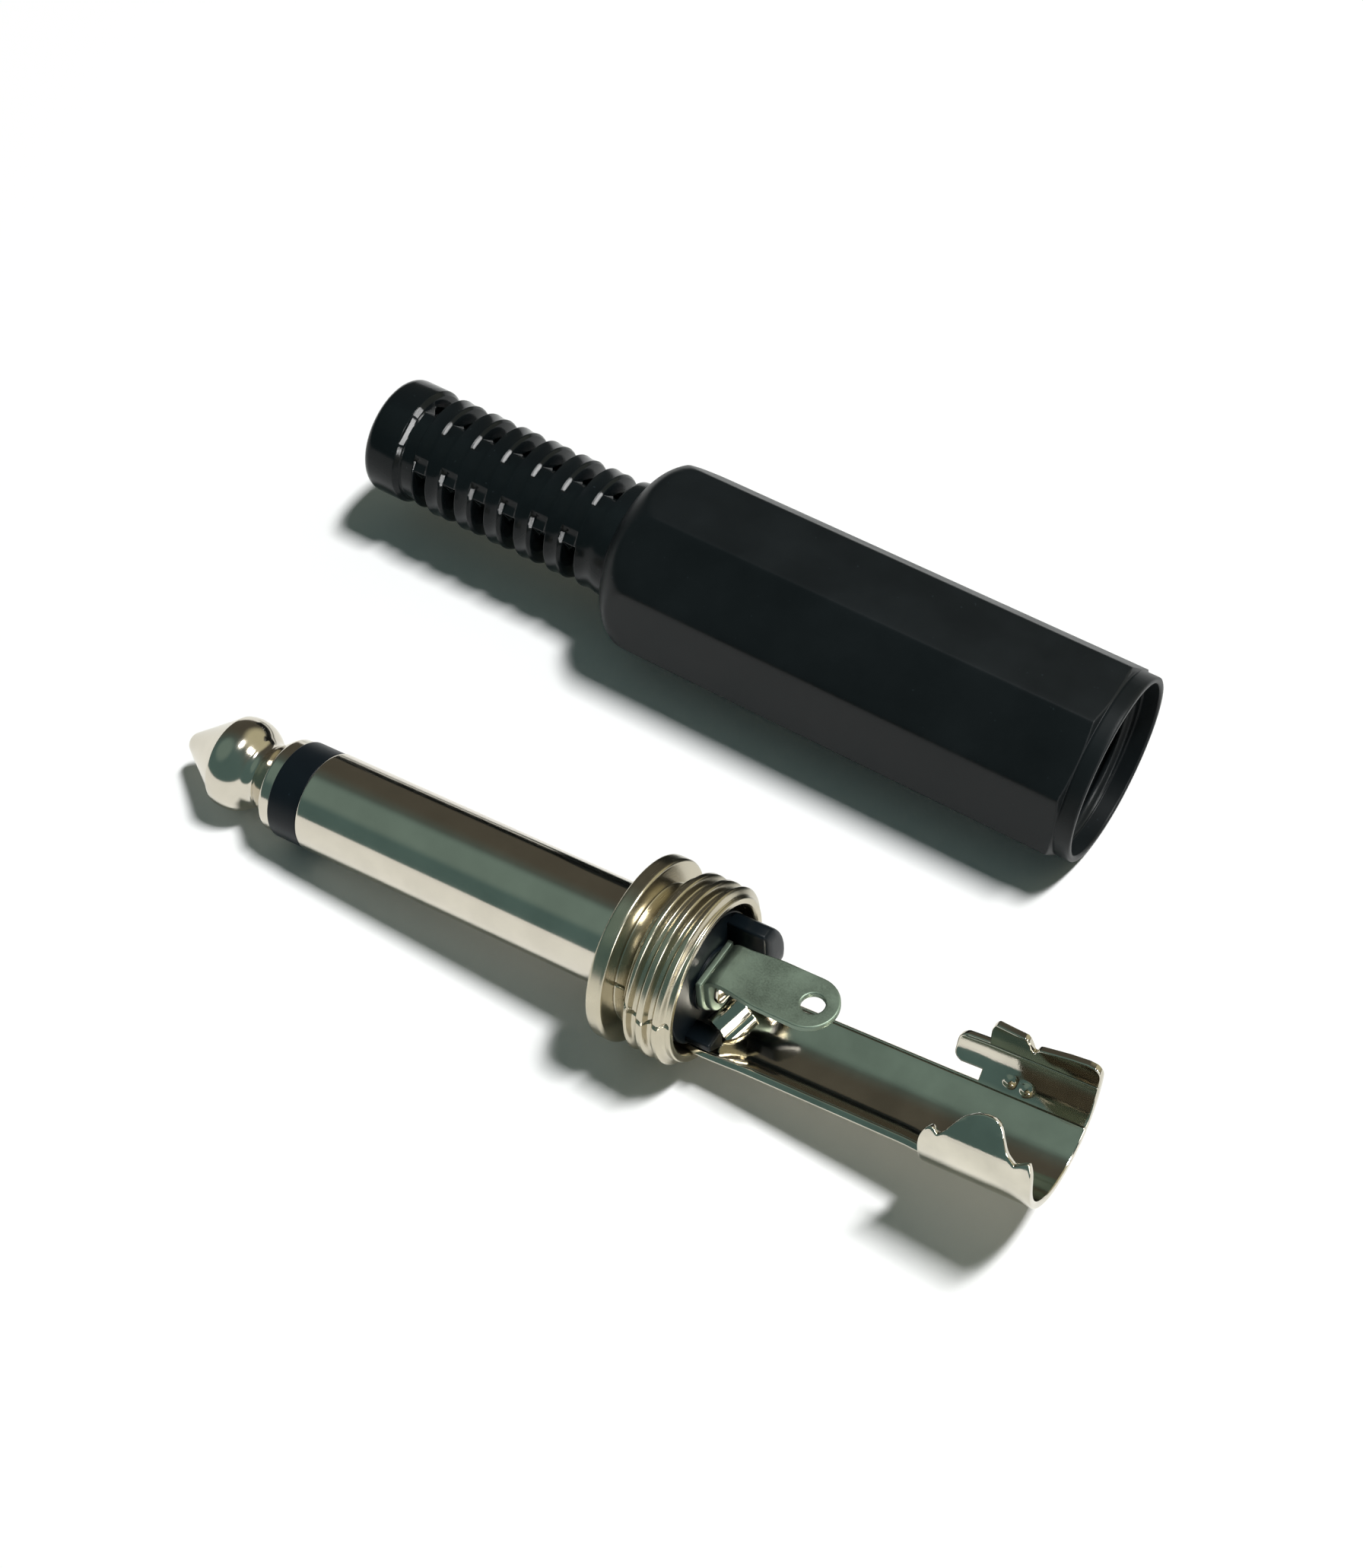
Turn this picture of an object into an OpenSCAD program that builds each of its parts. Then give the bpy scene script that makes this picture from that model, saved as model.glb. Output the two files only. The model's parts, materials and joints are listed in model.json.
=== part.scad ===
// Mono jack plug taken apart: the metal plug lies in front of the handle that screws onto it.
// X runs along the handle from its boot to its mouth, Y points away from the plug, Z is up and
// the bench is at Z = 0. The origin is below the middle of the whole set. Sizes are in mm.

/* [Contacts] */
// Sleeve diameter, the standard quarter inch
sleeve_d = 6.35; // [6:0.05:6.7]
// Sleeve length in front of the flange
sleeve_len = 22.5; // [18:0.1:26]
// Wall of the sleeve tube
sleeve_wall = 0.6; // [0.4:0.05:0.9]
// Length of the insulating ring between tip and sleeve
ring_len = 1.95; // [1.2:0.05:2.6]
// Length of the tip contact
tip_len = 8.7; // [8.2:0.1:9.5]
// Diameter of the tip's bulb and shoulder
bulb_d = 6; // [5.4:0.1:6.3]
// Rounding of the bulb along the plug
bulb_round = 2; // [1.6:0.1:2.4]
// Half angle of the cone in front of the bulb
cone_angle = 35; // [31:1:40]
// Rounding of the tip's nose
nose_r = 0.85; // [0.6:0.05:1.1]
// Waist diameter behind the bulb
waist_d = 4; // [3.6:0.1:4.4]
// Diameter of the rod that carries the tip
rod_d = 2; // [1.7:0.1:2.1]
// Length of the bush's spigot inside the sleeve
spigot_len = 3; // [2:0.1:5]

/* [Collar] */
// Flange diameter
flange_d = 11.3; // [10.8:0.1:12]
// Flange thickness
flange_len = 1; // [0.8:0.1:1.4]
// Length of the neck between flange and thread
neck_len = 1.1; // [0.8:0.1:1.6]
// Neck diameter
neck_d = 8.4; // [8.2:0.1:9.4]
// Length of the thread
thread_len = 3.1; // [2.4:0.1:4]
// Turns of the thread
thread_turns = 3; // [2:1:5]
// Depth of the thread
thread_depth = 0.45; // [0.3:0.05:0.5]

/* [Lug and clamp] */
// Height of the solder lug above the plug's axis
lug_height = 2; // [1.8:0.1:2.3]
// Width of the solder lug
lug_width = 3.6; // [3.2:0.1:4.2]
// End of the solder lug behind the flange's front
lug_end = 13.05; // [11.5:0.1:15]
// Sheet thickness of the lug
lug_sheet = 0.4; // [0.3:0.05:0.5]
// Diameter of the wire eye
eye_d = 1.4; // [1.2:0.05:2]
// Rear end of the cable clamp behind the flange's front
clamp_end = 26.8; // [25:0.1:29]
// Sheet thickness of the clamp
clamp_sheet = 0.45; // [0.35:0.05:0.6]
// Length of the crimp ears
ear_len = 6.4; // [5:0.1:7.5]
// Half angle of the clamp's trough about the plug's axis
trough_angle = 47; // [40:1:54]
// Wrap of the ears about the plug's axis, from the bottom up
ear_angle = 105; // [95:1:112]
// Length of the tab in front of the far ear
tab_len = 2.3; // [1.5:0.1:3]
// Length of the lobe on the near ear
lobe_len = 2.6; // [1.8:0.1:3.2]
// Height of the post beside the lug above the plug's axis
post_height = 2.8; // [2.4:0.1:3.6]
// Reach of that post behind the collar
post_len = 2.2; // [1:0.1:3.5]

/* [Handle] */
// Length of the whole handle
handle_len = 54; // [50:0.5:60]
// Length of the slotted boot
boot_len = 19.4; // [17:0.1:22]
// Boot diameter
boot_d = 8; // [7.6:0.1:9]
// Diameter of the cable bore
cable_d = 5.2; // [4.6:0.1:5.6]
// Slots on the boot's upper side
slot_count = 7; // [4:1:8]
// Distance between neighbouring slots
slot_pitch = 2.37; // [2.2:0.01:2.5]
// Width of a slot
slot_width = 1.05; // [0.8:0.05:1.2]
// Distance from the boot's end to the middle of the first slot
boot_ring = 3.4; // [2.4:0.1:4]
// Length of the closed wall between boot and barrel cavity
cavity_back = 5.5; // [4:0.1:8]

/* [Layout] */
// Distance between the axes of plug and handle
axis_gap = 26.2; // [22:0.1:32]
// Flange front behind the handle's mouth
flange_behind_mouth = 17.35; // [10:0.1:25]
// Turn of the plug on the bench away from the handle's direction
heading = 0.7; // [-3:0.1:3]

/* [Hidden] */
// Clearance of pieces that slide together
slip = 0.03;
// Small rounding or bevel of turned edges
edge = 0.2;
// Overlap that joins forms of one piece and lets cutters run past a face
past = 0.1;
// Facets of round forms
$fn = 96;

// Plug radii
sleeve_r = sleeve_d / 2;
sleeve_bore_r = sleeve_r - sleeve_wall;
web_seat_r = sleeve_r - 0.2;
ring_r = sleeve_r - 0.05;
bulb_r = bulb_d / 2;
waist_r = waist_d / 2;
rod_r = rod_d / 2;
peen_r = rod_r + 0.15;
flange_r = flange_d / 2;
thread_r = flange_r - 0.15;
thread_root_r = thread_r - thread_depth;
collar_bore_r = thread_root_r - 0.5;
neck_bore_r = neck_d / 2 - 0.6;
roll_r = neck_bore_r - slip;

// Stations along the plug, from the flange's front face
sleeve_front = -sleeve_len;
ring_front = sleeve_front - ring_len;
nose_x = ring_front - tip_len;
spigot_end = sleeve_front + spigot_len;
thread_x = flange_len + neck_len;
thread_pitch = thread_len / thread_turns;
collar_end = thread_x + thread_len;
bore_step = thread_x + edge;
roll_end = flange_len + 0.5;
insulator_end = collar_end - 0.4;
boss_end = collar_end - 0.25;
washer_end = boss_end + 0.35;
lug_foot_end = washer_end + lug_sheet;
peen_end = lug_foot_end + 0.5;
clamp_front = bore_step + past;
ear_front = clamp_end - ear_len;

// Tip outline: the cone meets the bulb at a crease, and bulb and waist share a tangent
bulb_centre_r = bulb_r - bulb_round;
crease_angle = 15;
flare_angle = 36;
waist_round = 0.7;
cone_len = (bulb_centre_r + bulb_round * cos(crease_angle) - nose_r * cos(cone_angle)) / tan(cone_angle);
bulb_x = nose_x + nose_r * (1 - sin(cone_angle)) + cone_len + bulb_round * sin(crease_angle);
back_angle = acos((waist_r + waist_round - bulb_centre_r) / (bulb_round + waist_round));
waist_x = bulb_x + (bulb_round + waist_round) * sin(back_angle);
flare_rise = bulb_r - waist_r - waist_round * (1 - cos(flare_angle));
shoulder_x = waist_x + waist_round * sin(flare_angle) + flare_rise / tan(flare_angle);

// Lug outline
lug_bend_r = 2 * lug_sheet;
lug_end_r = lug_width / 2;
lug_round_x = lug_end - lug_end_r;
eye_x = lug_round_x + 0.3;

// Clamp shell, and the tongue that climbs from it to the insulator
clamp_out_r = collar_bore_r;
clamp_in_r = clamp_out_r - clamp_sheet;
tongue_top = -2.3;
tongue_len = 2.1;
tongue_width = 2.2;
tongue_sheet = 0.3;
tongue_slope = 52;
tongue_roll = 26;

// Handle sizes follow the collar that screws into it
thread_gap = 0.1;
mouth_seat_r = flange_r + thread_gap;
mouth_wall = 0.45;
handle_r = mouth_seat_r + mouth_wall;
corner_r = handle_r / cos(22.5);
mouth_len = 1.1;
mouth_seat_len = flange_len + thread_gap;
inner_thread_root_r = thread_r + thread_gap;
inner_thread_r = thread_root_r + thread_gap;
inner_thread_turns = thread_turns + 2;
inner_thread_end = -mouth_seat_len - inner_thread_turns * thread_pitch;
boot_r = boot_d / 2;
cable_r = cable_d / 2;
barrel_front = boot_len - handle_len;
dome_r = 3.2;
cavity_end = barrel_front + cavity_back;
slot_floor = cable_r - 0.35;
first_slot = boot_ring - handle_len;
upper_turn = -45;
lower_turn = 122;

// Rest pose: the bulb and the flange's front edge both touch the bench
lean_rise = flange_r - edge - bulb_centre_r;
lean_reach = edge - bulb_x;
tilt = acos((bulb_round - edge) / norm([lean_rise, lean_reach])) - atan2(lean_reach, lean_rise);
flange_height = edge + (flange_r - edge) * cos(tilt) - edge * sin(tilt);

// Origin below the middle of the set
set_right = clamp_end * cos(tilt) + clamp_out_r * sin(tilt) - flange_behind_mouth;
mouth_x = (handle_len - set_right) / 2;
mouth_y = (axis_gap + flange_r - handle_r) / 2;

black = [0.09, 0.1, 0.11];
nickel = [0.72, 0.7, 0.64];
satin = [0.7, 0.64, 0.5];
tin = [0.6, 0.62, 0.6];

// Points of an arc about [u, v]
function arc(u, v, r, from, to, steps = 12) =
    [for (i = [0:steps]) let (a = from + (to - from) * i / steps) [u + r * cos(a), v + r * sin(a)]];

// Solid of revolution about X, from points of radius and station
module turned(points) rotate([0, 90, 0]) rotate_extrude() polygon(points);

// Part of a shell about X, between two angles from straight down, positive on the handle's side
module shell(r_in, r_out, x_from, x_to, from, to)
    rotate([0, 90, 0]) rotate([0, 0, from]) rotate_extrude(angle = to - from)
        translate([r_in, x_from]) square([r_out - r_in, x_to - x_from]);

// Bar along X with a rectangular section
module bar(x_from, x_to, y_from, y_to, z_from, z_to)
    translate([x_from, y_from, z_from]) cube([x_to - x_from, y_to - y_from, z_to - z_from]);

// Round bar along X
module rod(x_from, x_to, r) translate([x_from, 0, 0]) rotate([0, 90, 0]) cylinder(h = x_to - x_from, r = r);

// Place of the leaning plug
module at_plug()
    translate([mouth_x - flange_behind_mouth, mouth_y - axis_gap, flange_height])
        rotate([0, -tilt, heading]) children();

// Place of the handle, lying on one flat
module at_handle() translate([mouth_x, mouth_y, handle_r]) children();

// Ring of a thread: the flanks fall from a flat crest to a flat root
function thread_ring(crest, root, from, pitch) = [
    [root, from + 0.1 * pitch], [crest, from + 0.4 * pitch],
    [crest, from + 0.6 * pitch], [root, from + 0.9 * pitch]];

module tip() color(nickel) at_plug() turned(concat(
    arc(0, nose_x + nose_r, nose_r, -90, -cone_angle),
    arc(bulb_centre_r, bulb_x, bulb_round, -crease_angle, back_angle),
    arc(waist_r + waist_round, waist_x, waist_round, 180 + back_angle, 180 - flare_angle),
    [[bulb_r, shoulder_x], [bulb_r, ring_front], [rod_r, ring_front], [rod_r, lug_foot_end],
     [peen_r, lug_foot_end], [peen_r, lug_foot_end + edge], [rod_r / 2, peen_end], [0, peen_end]]));

module tip_insulator() color(black) at_plug() turned([
    [rod_r + slip, ring_front], [ring_r, ring_front], [ring_r, sleeve_front],
    [sleeve_bore_r - slip, sleeve_front], [sleeve_bore_r - slip, spigot_end],
    [rod_r + slip, spigot_end]]);

module sleeve() color(nickel) at_plug() turned([
    [sleeve_bore_r, sleeve_front], [sleeve_r - edge / 2, sleeve_front], [sleeve_r, sleeve_front + edge / 2],
    [sleeve_r, 0], [web_seat_r, 0], [web_seat_r, flange_len], [roll_r, flange_len],
    [roll_r, roll_end], [sleeve_bore_r, roll_end]]);

module rod_liner() color(black) at_plug() turned([
    [rod_r + slip, spigot_end], [sleeve_bore_r - slip, spigot_end],
    [sleeve_bore_r - slip, roll_end], [rod_r + slip, roll_end]]);

module threaded_collar() color(satin) at_plug() turned(concat(
    [[web_seat_r, 0]],
    arc(flange_r - edge, edge, edge, -90, 0, 6),
    arc(flange_r - edge, flange_len - edge, edge, 0, 90, 6),
    [[neck_d / 2, flange_len], [neck_d / 2, thread_x], [thread_root_r, thread_x]],
    [for (i = [0:thread_turns - 1])
        each thread_ring(thread_r, thread_root_r, thread_x + i * thread_pitch, thread_pitch)],
    [[thread_root_r, collar_end], [collar_bore_r + edge, collar_end], [collar_bore_r, collar_end - edge],
     [collar_bore_r, bore_step], [neck_bore_r, bore_step], [neck_bore_r, flange_len],
     [web_seat_r, flange_len]]));

// Disc with a boss for the lug, a post beside the lug and a ledge below it
module rear_insulator() {
    root = insulator_end - past;
    hole_r = rod_r + slip;
    boss_r = lug_width / 2 + 0.1;
    post_y = lug_width / 2 + 0.2;
    inner_r = clamp_in_r - 0.1;
    post_end = collar_end + post_len;
    ledge_end = collar_end + 1.2;
    color(black) at_plug() {
        difference() {
            turned([
                [hole_r, roll_end], [neck_bore_r - slip, roll_end], [neck_bore_r - slip, bore_step],
                [collar_bore_r, bore_step], [collar_bore_r, insulator_end], [boss_r, insulator_end],
                [boss_r, boss_end], [hole_r, boss_end]]);
            shell(clamp_in_r, collar_bore_r + past, bore_step - past, insulator_end + past,
                -trough_angle - 1, trough_angle + 1);
        }
        intersection() {
            rod(root, post_end, inner_r);
            bar(root, post_end, post_y, collar_bore_r, -1, post_height);
        }
        intersection() {
            rod(root, ledge_end, inner_r);
            bar(root, ledge_end, -3, -1.6, -collar_bore_r, -2);
        }
    }
}

module lug_washer() color(tin) at_plug() difference() {
    union() {
        rod(boss_end, washer_end, lug_width / 2 + 0.05);
        bar(boss_end, washer_end, -lug_width / 2, lug_width / 2, 0, lug_height - lug_sheet);
    }
    rod(boss_end - past, washer_end + past, rod_r);
}

// Sheet bent at a right angle: the foot is held by the peened rod and the tongue has a wire eye
module tip_lug() {
    bend_x = washer_end + lug_bend_r;
    bend_z = lug_height - lug_bend_r;
    side = concat(
        [[lug_round_x, lug_height]],
        arc(bend_x, bend_z, lug_bend_r, 90, 180),
        [[washer_end, 0], [lug_foot_end, 0]],
        arc(bend_x, bend_z, lug_bend_r - lug_sheet, 180, 90),
        [[lug_round_x, lug_height - lug_sheet]]);
    color(tin) at_plug() difference() {
        union() {
            rotate([90, 0, 0]) linear_extrude(lug_width, center = true) polygon(side);
            rod(washer_end, lug_foot_end, lug_width / 2);
            translate([lug_round_x, 0, lug_height - lug_sheet]) cylinder(h = lug_sheet, r = lug_end_r);
        }
        rod(washer_end - past, lug_foot_end + past, rod_r);
        translate([eye_x, 0, lug_height - lug_sheet - past]) cylinder(h = lug_sheet + 2 * past, d = eye_d);
    }
}

// Wedge about X that cuts the clamp's sheet between two stations and two angles
module sheet_cut(x_from, x_to, from, to) {
    corners = [for (i = [0:4]) let (a = from + (to - from) * i / 4) 2 * clamp_out_r * [sin(a), -cos(a)]];
    translate([x_from, 0, 0]) rotate([90, 0, 90])
        linear_extrude(x_to - x_from) polygon(concat([[0, 0]], corners));
}

// Round bite out of the clamp's sheet
module sheet_bite(x, angle, r)
    rotate([angle, 0, 0]) translate([x, 0, -clamp_out_r - past])
        cylinder(h = clamp_sheet + 2 * past, r = r);

// Tongue bent up from the trough, with its upper end at the insulator
module clamp_tongue()
    translate([insulator_end + 2 * tongue_sheet + past, 0, tongue_top])
        rotate([0, tongue_slope, 0]) rotate([tongue_roll, 0, 0])
            translate([0, -tongue_width / 2, -tongue_sheet]) cube([tongue_len, tongue_width, tongue_sheet]);

// Trough that starts inside the collar and ends in two crimp ears with ragged edges
module cable_clamp() {
    front = clamp_front - past;
    rear = clamp_end + past;
    beyond = 150;
    lobe_angle = ear_angle + 20;
    lobe_from = ear_front + 1.9;
    lobe_to = lobe_from + lobe_len;
    tab_from = ear_front - tab_len;
    color(nickel) at_plug() {
        difference() {
            shell(clamp_in_r, clamp_out_r, clamp_front, clamp_end, -lobe_angle, ear_angle);
            // Sides of the trough
            sheet_cut(front, ear_front, -beyond, -trough_angle);
            sheet_cut(front, tab_from, trough_angle, beyond);
            // Forward tab of the far ear
            sheet_cut(tab_from - past, ear_front, trough_angle, ear_angle - 49);
            sheet_cut(tab_from - past, ear_front, ear_angle - 20, beyond);
            // Notch and lower rear edge of the far ear
            sheet_bite(ear_front + 2.5, ear_angle - 4, 0.35);
            sheet_cut(ear_front + 2.5, rear, ear_angle - 4, beyond);
            // Lobe of the near ear
            sheet_cut(ear_front - past, lobe_from, -beyond, -ear_angle);
            sheet_cut(lobe_to, rear, -beyond, -ear_angle);
            sheet_bite(ear_front + 0.9, -ear_angle, 0.35);
            sheet_bite(lobe_to + 0.6, -ear_angle, 0.5);
        }
        clamp_tongue();
    }
}

// Slot sawn across the boot, turned about its axis from straight up
module boot_slot(x, turn)
    translate([x, 0, 0]) rotate([turn, 0, 0])
        bar(-slot_width / 2, slot_width / 2, -boot_d, boot_d, slot_floor, boot_d);

// Eight-sided barrel with a domed shoulder, a round mouth and a boot slotted from both sides
module handle() {
    barrel_end = -mouth_len;
    dome_centre_r = corner_r - dome_r;
    dome_x = barrel_front + dome_r;
    corner_end = barrel_end - edge;
    color(black) at_handle() difference() {
        union() {
            intersection() {
                rotate([0, 90, 0]) translate([0, 0, barrel_front - past]) rotate([0, 0, 22.5])
                    cylinder(h = barrel_end - barrel_front + past, r = corner_r, $fn = 8);
                turned(concat(
                    [[0, dome_x - dome_r], [dome_centre_r, dome_x - dome_r]],
                    arc(dome_centre_r, dome_x, dome_r, -90, 0),
                    [[corner_r, corner_end], [handle_r, barrel_end], [0, barrel_end]]));
            }
            turned([[0, barrel_end - past], [handle_r, barrel_end - past], [handle_r, -edge],
                [handle_r - edge, 0], [0, 0]]);
            turned(concat(
                [[0, -handle_len]],
                arc(boot_r - 2 * edge, 2 * edge - handle_len, 2 * edge, -90, 0, 6),
                [[boot_r, dome_x], [0, dome_x]]));
        }
        turned(concat(
            [[0, past], [mouth_seat_r, past], [mouth_seat_r, -mouth_seat_len]],
            [for (i = [0:inner_thread_turns - 1])
                each thread_ring(inner_thread_root_r, inner_thread_r,
                    -mouth_seat_len - i * thread_pitch, -thread_pitch)],
            [[inner_thread_r, inner_thread_end], [inner_thread_r, cavity_end],
             [cable_r, cavity_end - inner_thread_r + cable_r], [cable_r, -handle_len - past],
             [0, -handle_len - past]]));
        for (i = [0:slot_count - 1]) boot_slot(first_slot + i * slot_pitch, upper_turn);
        for (i = [0:slot_count - 2]) boot_slot(first_slot + (i + 0.5) * slot_pitch, lower_turn);
    }
}

handle();
tip();
tip_insulator();
sleeve();
rod_liner();
threaded_collar();
rear_insulator();
lug_washer();
tip_lug();
cable_clamp();
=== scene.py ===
"""Mono jack plug taken apart: the finished pieces of the plug and of the handle that screws onto it.

Lengths inside the shape functions are millimetres. The plug's own frame has X from the tip to the
clamp with 0 at the flange's front face, and Z through the solder lug's eye. The handle's own frame
has X along its axis with 0 at the mouth and the boot on the minus side.
"""

import json
import math
from types import SimpleNamespace

import bpy
import numpy as np
from mathutils import Matrix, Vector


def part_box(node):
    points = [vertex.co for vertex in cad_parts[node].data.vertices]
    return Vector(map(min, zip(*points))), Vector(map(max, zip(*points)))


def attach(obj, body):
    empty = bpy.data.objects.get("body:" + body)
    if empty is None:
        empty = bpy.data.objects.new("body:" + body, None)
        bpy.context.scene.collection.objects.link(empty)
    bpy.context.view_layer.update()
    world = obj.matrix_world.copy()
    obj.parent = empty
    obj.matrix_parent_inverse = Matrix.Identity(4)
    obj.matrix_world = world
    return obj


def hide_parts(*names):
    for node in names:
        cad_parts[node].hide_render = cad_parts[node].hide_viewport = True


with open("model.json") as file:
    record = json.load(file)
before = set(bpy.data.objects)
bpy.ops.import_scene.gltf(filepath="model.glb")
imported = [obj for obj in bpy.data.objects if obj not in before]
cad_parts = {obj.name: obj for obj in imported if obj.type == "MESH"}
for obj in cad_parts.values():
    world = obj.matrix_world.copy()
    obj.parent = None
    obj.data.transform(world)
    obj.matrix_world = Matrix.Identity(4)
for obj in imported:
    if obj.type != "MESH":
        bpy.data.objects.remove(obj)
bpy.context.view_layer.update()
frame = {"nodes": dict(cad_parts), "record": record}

bl_info = {
    "name": "Mono Jack Plug",
    "version": (1, 0, 0),
    "blender": (4, 5, 0),
    "location": "View3D > Sidebar > Jack Plug",
    "description": "Builds the pieces, finishes and stage of a mono jack plug that is taken apart",
    "category": "Add Mesh",
}

MM = 0.001
MOUNTS = {mount["name"]: mount for mount in frame["record"]["mounts"]}


def unit_vector(values):
    """The given direction with length one."""
    vector = np.asarray(values, float)
    return vector / np.linalg.norm(vector)


# Frame of the plug, from the shank's and the wire eye's own axes
PLUG_X = -unit_vector(MOUNTS["plug_sleeve"]["axis"])
PLUG_Y = unit_vector(np.cross(MOUNTS["wire_eye"]["axis"], PLUG_X))
PLUG_AXES = np.array([PLUG_X, PLUG_Y, np.cross(PLUG_X, PLUG_Y)])
SHANK = MOUNTS["plug_sleeve"]["dims"]
PLUG_ORIGIN = np.asarray(MOUNTS["plug_sleeve"]["pos_m"]) / MM + PLUG_X * SHANK["length_mm"] / 2

# Frame of the handle, whose mouth is the far end of its box
HANDLE_LOW = np.array(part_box("handle")[0]) / MM
HANDLE_HIGH = np.array(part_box("handle")[1]) / MM
HANDLE_AXES = np.eye(3)
HANDLE_ORIGIN = np.array([HANDLE_HIGH[0], *(HANDLE_LOW + HANDLE_HIGH)[1:] / 2])


def linear(text):
    """Linear colour of an sRGB hex colour."""
    coded = np.array([int(text[i:i + 2], 16) for i in (1, 3, 5)]) / 255
    return tuple(np.where(coded <= 0.04045, coded / 12.92, ((coded + 0.055) / 1.055) ** 2.4))


def length(name, description, millimetres):
    """Property for a length, with its default in millimetres."""
    return bpy.props.FloatProperty(name=name, description=description, default=millimetres * MM,
                                   unit="LENGTH", precision=5, min=0)


def angle(name, description, degrees):
    """Property for an angle, with its default in degrees."""
    return bpy.props.FloatProperty(name=name, description=description,
                                   default=math.radians(degrees), unit="ROTATION")


def colour(name, description, text):
    """Property for a colour, with its default as sRGB hex."""
    return bpy.props.FloatVectorProperty(name=name, description=description, subtype="COLOR",
                                         size=3, min=0, max=1, default=linear(text))


def factor(name, description, value, high=1.0):
    """Property for a share or a strength."""
    return bpy.props.FloatProperty(name=name, description=description, default=value, min=0,
                                   max=high, subtype="FACTOR")


class PlugSizes(bpy.types.PropertyGroup):
    """Sizes of the metal plug"""
    sleeve_d: length("Sleeve diameter", "Outside of the sleeve", 2 * SHANK["r_mm"])
    sleeve_len: length("Sleeve length", "Sleeve in front of the flange", 22.5)
    sleeve_wall: length("Sleeve wall", "Wall of the sleeve tube", 0.6)
    ring_len: length("Insulator length", "Insulating ring between tip and sleeve", 2.15)
    tip_len: length("Tip length", "Tip contact from its nose to the insulating ring", 8.50)
    bulb_d: length("Bulb diameter", "Widest part of the tip", 6.0)
    bulb_round: length("Bulb rounding", "Rounding of the bulb along the plug", 2.0)
    cone_angle: angle("Cone angle", "Half angle of the cone in front of the bulb", 35)
    crease_angle: angle("Crease angle", "Slope of the bulb where the cone meets it", 15)
    nose_r: length("Nose rounding", "Rounding of the tip's nose", 0.85)
    waist_d: length("Waist diameter", "Waist behind the bulb", 4.0)
    waist_round: length("Waist rounding", "Rounding of the waist", 0.7)
    flare_angle: angle("Flare angle", "Slope of the shoulder behind the waist", 36)
    rod_d: length("Rod diameter", "Rod that carries the tip", 2.0)
    flange_d: length("Flange diameter", "Outside of the collar's flange", 11.3)
    flange_len: length("Flange thickness", "Thickness of the collar's flange", 1.0)
    neck_d: length("Neck diameter", "Neck between flange and thread", 8.4)
    neck_len: length("Neck length", "Neck between flange and thread", 1.1)
    thread_len: length("Thread length", "Length of the collar's thread", 3.1)
    thread_pitch: length("Thread pitch", "Rise of the thread in one turn", 3.1 / 3)
    thread_depth: length("Thread depth", "Depth of the collar's thread", 0.45)
    lug_height: length("Lug height", "Top of the solder lug above the axis", 2.0)
    lug_width: length("Lug width", "Width of the solder lug", 3.6)
    lug_end: length("Lug end", "End of the lug behind the flange's front", 13.05)
    lug_sheet: length("Lug sheet", "Sheet thickness of the lug", 0.4)
    eye_d: length("Wire eye", "Hole for the wire in the lug", 2 * MOUNTS["wire_eye"]["dims"]["r_mm"])
    clamp_end: length("Clamp end", "Rear end of the clamp behind the flange's front", 26.8)
    clamp_sheet: length("Clamp sheet", "Sheet thickness of the clamp", 0.45)
    ear_len: length("Ear length", "Length of the crimp ears", 6.4)
    tab_len: length("Tab length", "Tab in front of the far ear", 1.8)
    trough_angle: angle("Trough half angle", "Half angle of the clamp's trough", 39.5)
    tongue_len: length("Tongue length", "Tongue bent up from the clamp's root", 2.1)
    tongue_width: length("Tongue width", "Width of the tongue", 2.2)
    tongue_sheet: length("Tongue sheet", "Sheet thickness of the tongue", 0.3)
    tongue_slope: angle("Tongue slope", "Slope of the tongue along the plug", 52)
    tongue_roll: angle("Tongue roll", "Turn of the tongue about its own length", 26)


class HandleSizes(bpy.types.PropertyGroup):
    """Sizes of the moulded handle"""
    handle_len: length("Handle length", "Boot and barrel", HANDLE_HIGH[0] - HANDLE_LOW[0])
    boot_len: length("Boot length", "Slotted boot", 19.4)
    boot_d: length("Boot diameter", "Outside of the boot", 8.0)
    boot_round: length("Boot end rounding", "Rounding of the boot's end", 0.7)
    cable_d: length("Cable bore", "Bore for the cable", 2 * MOUNTS["cable_bore"]["dims"]["r_mm"])
    slot_pitch: length("Slot pitch", "Distance between neighbouring slots", 2.37)
    slot_width: length("Slot width", "Width of one slot", 1.05)
    slot_round: length("Slot edge rounding", "Rounding of the slots' edges", 0.3)
    slot_count: bpy.props.IntProperty(name="Slots", description="Slots on the upper side", default=7,
                                      min=1, max=12)
    dome_r: length("Shoulder rounding", "Rounding of the barrel's shoulder", 3.2)
    cavity_back: length("Closed wall", "Wall between boot and barrel cavity", 5.5)
    mouth_len: length("Mouth length", "Round mouth beyond the flats", 1.1)


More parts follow.
